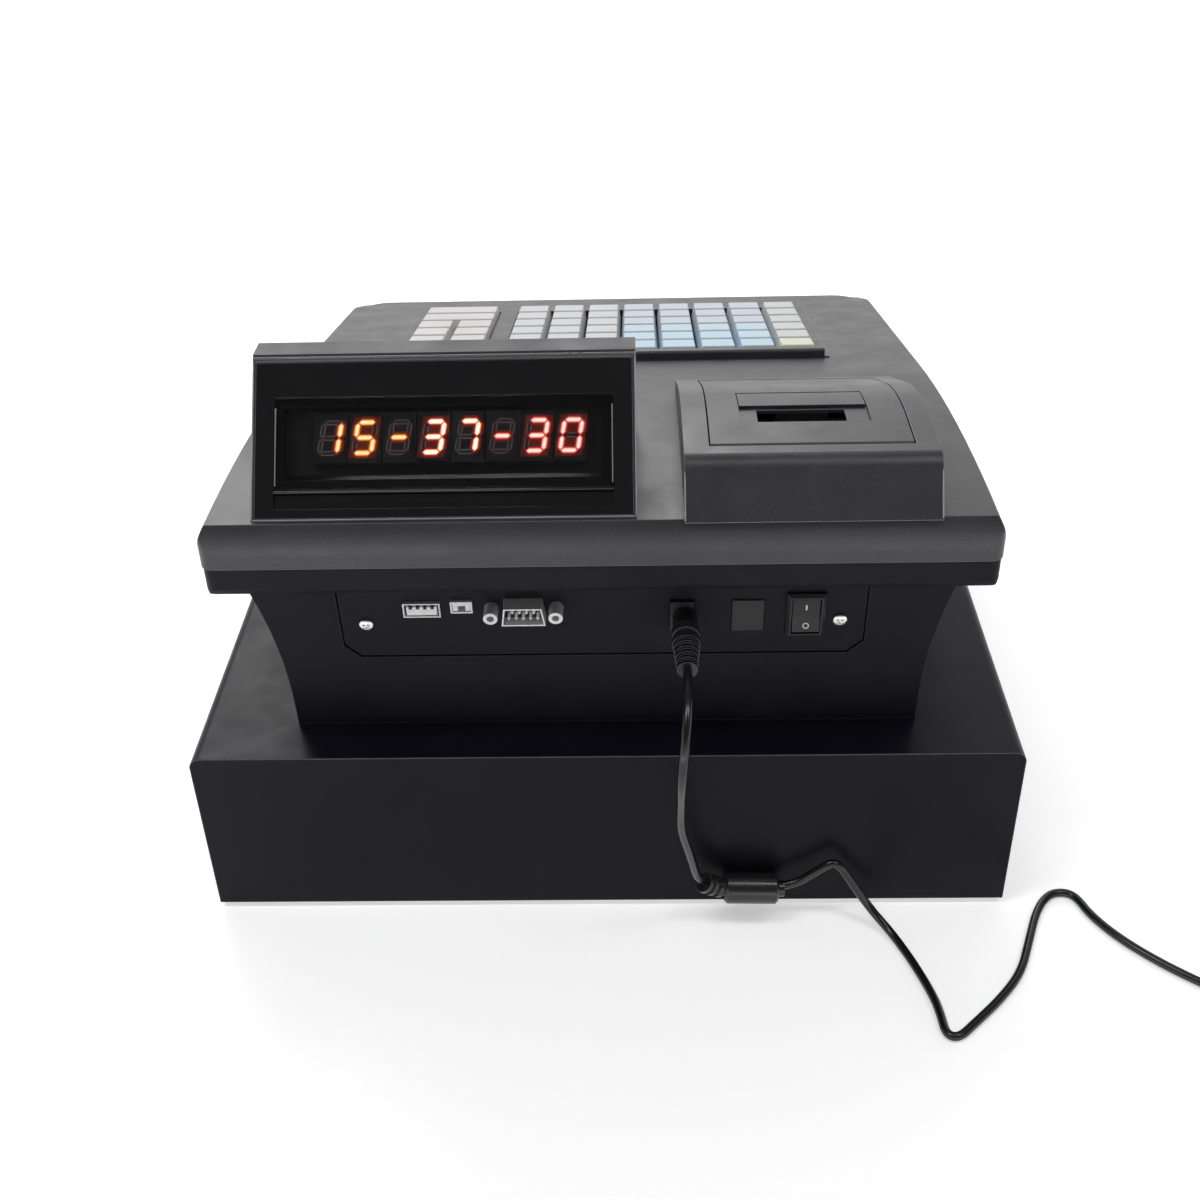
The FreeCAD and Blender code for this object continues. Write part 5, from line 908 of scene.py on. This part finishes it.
@dataclass
class RearPanel:
    """What the panel's fittings show close up: screw heads, contacts and the switch's marks.

    serial_half is half the serial shell's width below, above, and half its height, each less
    the sheet.
    """

    shop: Workshop
    screw_x: float = 91.9
    screw_z: float = 53.3
    head: float = 2.9
    rise: float = 1.2
    shank: float = 1.4
    shank_ends: Point = (-5.5, -0.5)
    rim: float = -0.1
    cross: Point = (0.42, 1.75)
    recess: float = 1.1
    recess_slope: float = 0.35
    recess_floor: float = -0.05
    usb: float = 69.5
    usb_tongue: Place = (60.5, 11.8, 4.0)
    usb_pitch: float = 2.8
    tooth: float = 1.3
    tooth_z: float = 62.1
    small: float = 54.0
    serial: Point = (30.0, 61.2)
    serial_half: Place = (16.9 / 2 - 0.6, 14.6 / 2 - 0.6, 8.4 / 2 - 0.6)
    pitch: float = 2.77
    rows: float = 2.84
    pin: float = 0.6
    proud: float = 4.8
    floor: float = 1.2
    rocker: Place = (-78.5, -2.2, 56.8)
    rocker_tilt: float = 18.0
    mark_rise: float = 4.0
    ring_drop: float = -4.2
    ring: Point = (1.25, 0.85)

    def screws(self) -> None:
        """Makes the two domed screws with their cross recess."""
        mesh = bmesh.new()
        rings = 14
        for side in (-1, 1):
            inner, seat = self.shank_ends
            profile = [(self.shank, inner), (self.shank, seat), (self.head, seat),
                       (self.head, self.rim)]
            for n in range(rings + 1):
                angle = math.radians(90) * n / rings
                profile.append((self.head * math.cos(angle) if n < rings else 0,
                                self.rim + self.rise * math.sin(angle)))
            corners = turned(mesh, profile, side * self.screw_x, self.screw_z, 72)
            for corner in corners:
                x, z = corner.co.x - side * self.screw_x, corner.co.z - self.screw_z
                u, v = abs(x + z) / math.sqrt(2), abs(x - z) / math.sqrt(2)
                near, far = min(u, v), max(u, v)
                if corner.co.y > 0.2 and near < self.cross[0] and far < self.cross[1]:
                    sunk = corner.co.y - self.recess + self.recess_slope * far
                    corner.co.y = max(sunk, self.recess_floor)
        self.shop.piece("screw_heads", mesh, REAR, NICKEL, "base", "bright_steel",
                        ["panel_screws"])

    def contacts(self) -> None:
        """Makes the tongues of the two small sockets and the larger one's dark teeth."""
        tongue, strips = bmesh.new(), bmesh.new()
        plate(tongue, rectangle(self.usb, *self.usb_tongue), -12, 0.5, 0.3)
        for n in range(4):
            x = self.usb + (n - 1.5) * self.usb_pitch
            plate(strips, rectangle(x, self.tooth_z, self.tooth, self.tooth), -9, 0.55, 0.1)
        for x, z, wide, tall in ((-2.5, 62.3, 2.1, 4.0), (2.5, 62.3, 2.1, 4.0),
                                 (0, 63.55, 3.0, 1.5)):
            plate(tongue, rectangle(self.small + x, z, wide, tall), -8, 0.4, 0.2)
        self.shop.piece("socket_tongues", tongue, REAR, TONGUE, "base", "key_white")
        self.shop.piece("socket_contacts", strips, REAR, SOCKET_BLACK, "base", "plastic_black")

    def pins(self) -> None:
        """Makes the serial socket's black insulator and its nine pins, painted plain white for the
        bright reflection of their metal.
        """
        x, z = self.serial
        core, pins = bmesh.new(), bmesh.new()
        wide, narrow, tall = self.serial_half
        outline = [(x - wide, z - tall), (x + wide, z - tall), (x + narrow, z + tall),
                   (x - narrow, z + tall)]
        plate(core, outline, -14, self.floor)
        for row, count in ((-1, 5), (1, 4)):
            for number in range(count):
                place = x + (number - (count - 1) / 2) * self.pitch
                turned(pins, [(0, -2), (self.pin, -2), (self.pin, self.proud - 0.5),
                              (self.pin * 0.75, self.proud - 0.15), (0, self.proud)],
                       place, z + row * self.rows / 2, 16)
        self.shop.piece("serial_core", core, REAR, SOCKET_BLACK, "base", "plastic_black",
                        ["serial_pins"])
        # The pins take the white tongue finish, not a metal: their brightness is a painted
        # reflection.
        self.shop.piece("serial_contacts", pins, REAR, TONGUE, "base", "pins_gold")

    def marks(self) -> None:
        """Makes the rocker's two marks, a bar above and a ring below, just proud of its faces."""
        pivot = REAR @ Matrix.Translation(Vector(self.rocker) * MM)
        line = bmesh.new()
        plate(line, rectangle(0, self.mark_rise, 0.6, 2.6), 3.38, 3.43)
        self.shop.piece("mark_bar", line, pivot, MARK, "rocker", "key_white")
        tilt = Matrix.Rotation(math.radians(self.rocker_tilt), 4, "X")
        lean = pivot @ Matrix.Translation((0, 3.4 * MM, 0)) @ tilt
        ring = bmesh.new()
        outer, inner = self.ring
        turns = [math.tau * n / 40 for n in range(40)]
        circles = [[ring.verts.new((r * math.cos(a), d, self.ring_drop + r * math.sin(a)))
                    for a in turns]
                   for r, d in ((outer, 0.0), (outer, 0.04), (inner, 0.04), (inner, 0.0))]
        for one, two in zip(circles, circles[1:] + circles[:1]):
            bridge(ring, one, two)
        self.shop.piece("mark_ring", ring, lean, MARK, "rocker", "key_white")

    def build(self) -> None:
        """Makes all of the panel's details."""
        self.screws()
        self.contacts()
        self.pins()
        self.marks()


@dataclass
class Lead:
    """The power lead from the plug's end to the adapter: the free route, then the coil."""

    shop: Workshop
    radius: float = 1.8
    centre: Point = (-283.0, 215.0)
    inner: float = 14.5
    pitch: float = 4.4
    layer: float = 4.4
    dip: float = 1.2
    turns_in: float = 2.5
    turns_out: float = 2.25
    cross: float = 0.5
    grow: float = 1.0225
    steps: int = 16
    bend: float = 6.0
    tail: float = 14.0
    length: float = 1.15
    diameter: float = 0.0036

    def route(self) -> list[Place]:
        """The points of the free stretch, in millimetres, as the solid has them."""
        hanging = [
            (-32.0, 194.93, 136.77), (-32.0, 206.48, 135.6), (-30.9, 220.0, 126.9),
            (-29.2, 225.3, 110.6), (-29.5, 212.6, 83.9), (-29.6, 206.5, 68.0),
            (-34.0, 199.0, 46.5), (-38.5, 188.3, 18.5), (-75.0, 186.9, 16.2),
            (-88.0, 186.3, 26.6), (-94.5, 185.9, 31.2), (-100.9, 187.5, 21.3),
            (-109.5, 190.5, 8.0),
        ]
        on_floor = [
            (-118.0, 198.5), (-124.5, 215.0), (-129.6, 232.0), (-130.9, 241.5), (-131.3, 251.2),
            (-136.0, 253.0), (-143.2, 246.2), (-156.0, 233.8), (-166.8, 220.5), (-173.5, 204.0),
            (-180.5, 186.5), (-187.6, 177.0), (-194.5, 175.6), (-199.2, 178.5), (-202.4, 189.0),
            (-211.5, 203.0), (-227.0, 218.5), (-246.0, 232.5), (-265.0, 240.5), (-279.4, 240.5),
        ]
        return hanging + [(x, y, self.radius) for x, y in on_floor]

    def turn(self, turns: float) -> Place:
        """A point of the coil.

        Args:
            turns: how many turns in from its start.

        Returns:
            The point.
        """
        beyond = turns - self.turns_in
        climb = min(max(beyond / self.cross, 0), 1)
        radius = self.inner - self.dip * math.sin(math.pi * climb)
        radius += self.pitch * (max(-beyond, 0) + max(beyond - self.cross, 0))
        angle = math.radians(90) + math.tau * turns
        rise = self.layer * climb * climb * (3 - 2 * climb)
        return (self.centre[0] + math.cos(angle) * radius * self.grow,
                self.centre[1] + math.sin(angle) * radius * self.grow, self.radius + rise)

    def points(self) -> list[Place]:
        """All control points of the lead."""
        total = self.turns_in + self.cross + self.turns_out
        coil = [self.turn(n / self.steps) for n in range(1, round(total * self.steps))]
        end_x = self.centre[0] - self.inner - self.pitch * self.turns_out
        end_y, end_z = self.centre[1], self.radius + self.layer
        return [*self.route(), *coil] + [(end_x, end_y - run, end_z)
                                         for run in (0, self.bend, self.tail)]

    def build(self) -> None:
        curve = bpy.data.curves.new("power_lead", "CURVE")
        curve.dimensions = "3D"
        curve.bevel_depth = self.radius * MM
        curve.bevel_resolution = 6
        curve.resolution_u = 6
        curve.use_fill_caps = True
        line = curve.splines.new("NURBS")
        points = self.points()
        line.points.add(len(points) - 1)
        for spot, (x, y, z) in zip(line.points, points):
            spot.co = (x * MM, y * MM, z * MM, 1)
        line.order_u = 3
        line.use_endpoint_u = True
        lead = stand("power_lead", curve)
        curve.materials.append(self.shop.finish(CORD))
        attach(lead, "base")
        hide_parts("cord_lead", "cord_coil")
        log.info("made power_lead")


@dataclass
class Housing:
    """The finishes of the solids that keep their shape."""

    shop: Workshop
    worn: tuple[tuple[object, str], ...] = (
        (MOULDED, "printer_hood key_bezel"),
        (HOOD, "display_hood"),
        (ROLL, "rear_panel"),
        (POWDER, "drawer_case drawer_front"),
        (GLOSSY, "display_bezel"),
        (ZINC, "case_floor case_rails tray_rails drawer_tray latch_bracket latch_hook "
               "latch_solenoid clip_rod ball_cages"),
        (NICKEL, "lock_body lock_barrel"),
        (TINNED, "usb_socket mini_usb_socket serial_shell jack_posts"),
        (SOCKET_BLACK, "dc_jack blank_plug switch_frame rocker_button print_head digit_board"),
        (RUBBER, "dc_plug ferrite_bead wall_adapter"),
        (BOARD, "main_board"),
        (PAPER, "paper_roll"),
        (ROLLER, "platen_roller"),
        (FOOT, "case_feet"),
        (TILL, "till_insert coin_cups printer_frame bill_clip_1 bill_clip_2 bill_clip_3 "
               "bill_clip_4"),
        (KEY_ROWS[0], "key_row_1 key_row_2 key_row_3"),
        (KEY_ROWS[1], "key_row_4 key_row_5"),
        (KEY_ROWS[2], "key_row_6"),
        (WHITE_CAPS, "wide_keys pad_keys"),
        (SMOKED, "customer_lens operator_lens"),
    )

    def build(self) -> None:
        """Dresses every solid that the scene keeps."""
        for kind, nodes in self.worn:
            self.shop.dress(nodes.split(), kind)


@dataclass
class DeckCorners:
    """The two shells again, with the far corners of the deck as round as the real ones."""

    shop: Workshop
    half: float = 147.7
    front: float = -168.0
    sharp: float = 9.0
    round: float = 22.0
    cuts: int = 12
    near: float = 1e-4

    def rim(self, angle: float) -> float:
        """How far the solid's outline lies from the round's middle.

        Args:
            angle: the direction from the round's middle, in radians from the side.

        Returns:
            The distance in millimetres.
        """
        c, s = math.cos(angle), math.sin(angle)
        far = self.round / max(c, s)
        inner = self.round - self.sharp
        if min(c, s) * far <= inner:
            return far
        along = inner * (c + s)
        return along + math.sqrt(along * along - 2 * inner * inner + self.sharp ** 2)

    def shell(self, node: str, kind: Finish) -> None:
        """Makes one shell with its corners drawn in.

        Args:
            node: the solid that it replaces.
            kind: its finish.
        """
        mesh = self.shop.copy(node)
        for n in range(self.cuts):
            place = self.round * (1 - math.cos(math.radians(90) * (n + 1) / self.cuts))
            for origin, normal in (((0, (self.front + place) * MM, 0), (0, 1, 0)),
                                   (((self.half - place) * MM, 0, 0), (1, 0, 0)),
                                   (((place - self.half) * MM, 0, 0), (1, 0, 0))):
                near = [f for f in mesh.faces
                        if min(v.co.y for v in f.verts) < (self.front + self.round) * MM]
                parts = set(near)
                for face in near:
                    parts.update(face.edges)
                    parts.update(face.verts)
                bmesh.ops.bisect_plane(mesh, geom=list(parts), dist=1e-7, plane_co=origin,
                                       plane_no=normal)
        for corner in mesh.verts:
            side = 1 if corner.co.x > 0 else -1
            across = side * corner.co.x / MM - (self.half - self.round)
            ahead = (self.front + self.round) - corner.co.y / MM
            if across > self.near and ahead > self.near:
                share = self.round / self.rim(math.atan2(ahead, across))
                corner.co.x = side * (self.half - self.round + across * share) * MM
                corner.co.y = (self.front + self.round - ahead * share) * MM
        self.shop.piece(f"{node}_rounded", mesh, Matrix.Scale(1 / MM, 4), kind, "base",
                        "charcoal_shell", [node])

    def build(self) -> None:
        """Makes both shells."""
        self.shell("top_shell", MOULDED)
        self.shell("base_shell", ROLL)


@dataclass
class PaperLid:
    """The paper lid and its flap again, with a little more gap round them."""

    shop: Workshop
    gap: float = 0.25

    def fitted(self, node: str, body: str) -> None:
        """Makes one of them, drawn in on its four sides.

        Args:
            node: the solid that it replaces.
            body: the body that it rides on.
        """
        mesh = self.shop.copy(node)
        for axis in (0, 1):
            ends = [corner.co[axis] for corner in mesh.verts]
            middle, half = (min(ends) + max(ends)) / 2, (max(ends) - min(ends)) / 2
            share = 1 - self.gap * MM / half
            for corner in mesh.verts:
                corner.co[axis] = middle + (corner.co[axis] - middle) * share
        self.shop.piece(f"{node}_fitted", mesh, Matrix.Scale(1 / MM, 4), FITTED, body,
                        "charcoal_shell", [node])

    def build(self) -> None:
        """Makes the lid and the flap."""
        self.fitted("printer_lid", "lid")
        self.fitted("lid_latch", "flap")


@dataclass
class Studio:
    """The floor, the light and the camera."""

    eye: Place = (-0.0146, 0.6354, 0.4680)
    lens: float = 44.68
    pitch: float = 34.19
    yaw: float = -1.838
    roll: float = -1.674
    lift: float = 0.42
    far: float = 1.2
    near: float = 0.12
    turn: Point = (-0.85, -0.2)
    horizon: Point = (0.12, 0.4)
    lamps: tuple[tuple[str, Place, Place, float, float, float], ...] = (
        ("key_light", (0.35, -1.3, 1.25), (0, 0, 0.1), 14, 1.2, 0.8),
        ("left_light", (0.9, 0.6, 1.5), (0, 0, 0.1), 2.4, 0.5, 0),
        ("right_light", (-0.9, 0.6, 1.5), (0, 0, 0.1), 2.2, 0.5, 0),
        ("left_card", (0.34, 0.70, 0.02), (0.34, 0.45, 0.9), 1.5, 0.5, 0.4),
        ("right_card", (-0.34, 0.70, 0.02), (-0.34, 0.45, 0.9), 1.1, 0.5, 0.4),
        ("left_strip", (0.45, 0.47, 1.4), (0.45, 0.17, 0.15), 4, 0.7, 0.2),
        ("right_strip", (-0.5, 0.47, 1.4), (-0.5, 0.17, 0.15), 2.5, 0.7, 0.2),
    )

    def floor(self) -> None:
        """Makes the pale floor, which shows white and keeps the shadow."""
        mesh = bmesh.new()
        bmesh.ops.create_grid(mesh, x_segments=1, y_segments=1, size=4.0)
        data = bpy.data.meshes.new("floor")
        mesh.to_mesh(data)
        mesh.free()
        item = stand("floor", data)
        tree = Tree("pale_floor")
        tone = tree.span(tree.noise(3), 0, 1)
        path = tree.add("ShaderNodeLightPath", "rays that show the backdrop")
        seen = path.outputs["Is Camera Ray"]
        for kind in ("Is Glossy Ray", "Is Transmission Ray"):
            either = tree.add("ShaderNodeMath", "either", operation="MAXIMUM")
            tree.links.new(seen, either.inputs[0])
            tree.links.new(path.outputs[kind], either.inputs[1])
            seen = either.outputs[0]
        tree.set(tree.shader, Base_Color=tree.blend(tone, (0.93, 0.93, 0.93), (0.95, 0.95, 0.95)),
                 Roughness=0.9, Specular_IOR_Level=0.1, Emission_Color=(1, 1, 1, 1),
                 Emission_Strength=tree.span(seen, 0, self.lift, 0, 1))
        data.materials.append(tree.owner)

    def lights(self) -> None:
        """Makes the soft lamps: square ones, and strips with a second side."""
        for name, at, aim, power, size, depth in self.lamps:
            data = bpy.data.lights.new(name, "AREA")
            data.energy, data.size = power, size
            if depth:
                data.shape, data.size_y = "RECTANGLE", depth
            item = stand(name, data)
            item.location = at
            item.rotation_euler = (Vector(aim) - Vector(at)).to_track_quat("-Z", "Y").to_euler()

    def world(self) -> None:
        """Makes the surrounding light: a white backdrop all round, bright behind the drawer's
        front and dim above the customer's side, as in a studio with one open side."""
        tree = Tree("studio", world=True)
        bpy.context.scene.world = tree.owner
        split = tree.add("ShaderNodeSeparateXYZ", "direction's parts")
        tree.links.new(tree.add("ShaderNodeTexCoord", "direction").outputs["Generated"],
                       split.inputs[0])
        over = tree.span(split.outputs["Y"], self.far, self.near, *self.turn, "SMOOTHSTEP")
        strength = tree.span(split.outputs["Z"], 1.0, over, *self.horizon, "SMOOTHSTEP")
        tree.set(tree.shader, Color=(1, 1, 1, 1), Strength=strength)

    def camera(self) -> None:
        """Puts the camera where the photograph was taken from."""
        pitch, yaw, roll = (math.radians(a) for a in (self.pitch, self.yaw, self.roll))
        ahead = Vector((-math.sin(yaw) * math.cos(pitch), -math.cos(yaw) * math.cos(pitch),
                        -math.sin(pitch)))
        right = Vector((-math.cos(yaw), math.sin(yaw), 0))
        up = right.cross(ahead)
        across = math.cos(roll) * right + math.sin(roll) * up
        above = math.cos(roll) * up - math.sin(roll) * right
        data = bpy.data.cameras.new("camera")
        data.lens, data.sensor_width, data.sensor_fit = self.lens, 36.0, "HORIZONTAL"
        data.clip_start = 0.01
        item = stand("camera", data)
        item.matrix_world = Matrix((
            (across.x, above.x, -ahead.x, self.eye[0]), (across.y, above.y, -ahead.y, self.eye[1]),
            (across.z, above.z, -ahead.z, self.eye[2]), (0, 0, 0, 1)))
        bpy.context.scene.camera = item

    def build(self) -> None:
        """Makes the studio."""
        bpy.context.scene.view_settings.view_transform = "Standard"
        self.floor()
        self.world()
        self.camera()
        self.lights()


def main() -> None:
    """Builds the studio, the finishes and the pieces."""
    logging.basicConfig(level=logging.INFO, format="%(name)s: %(message)s")
    shop = Workshop()
    for part in (Studio(), Lead(shop), Housing(shop), DeckCorners(shop), PaperLid(shop),
                 CustomerDisplay(shop), Surround(shop), HighlightRods(shop), RearPanel(shop)):
        part.build()


if __name__ == "__main__":
    main()
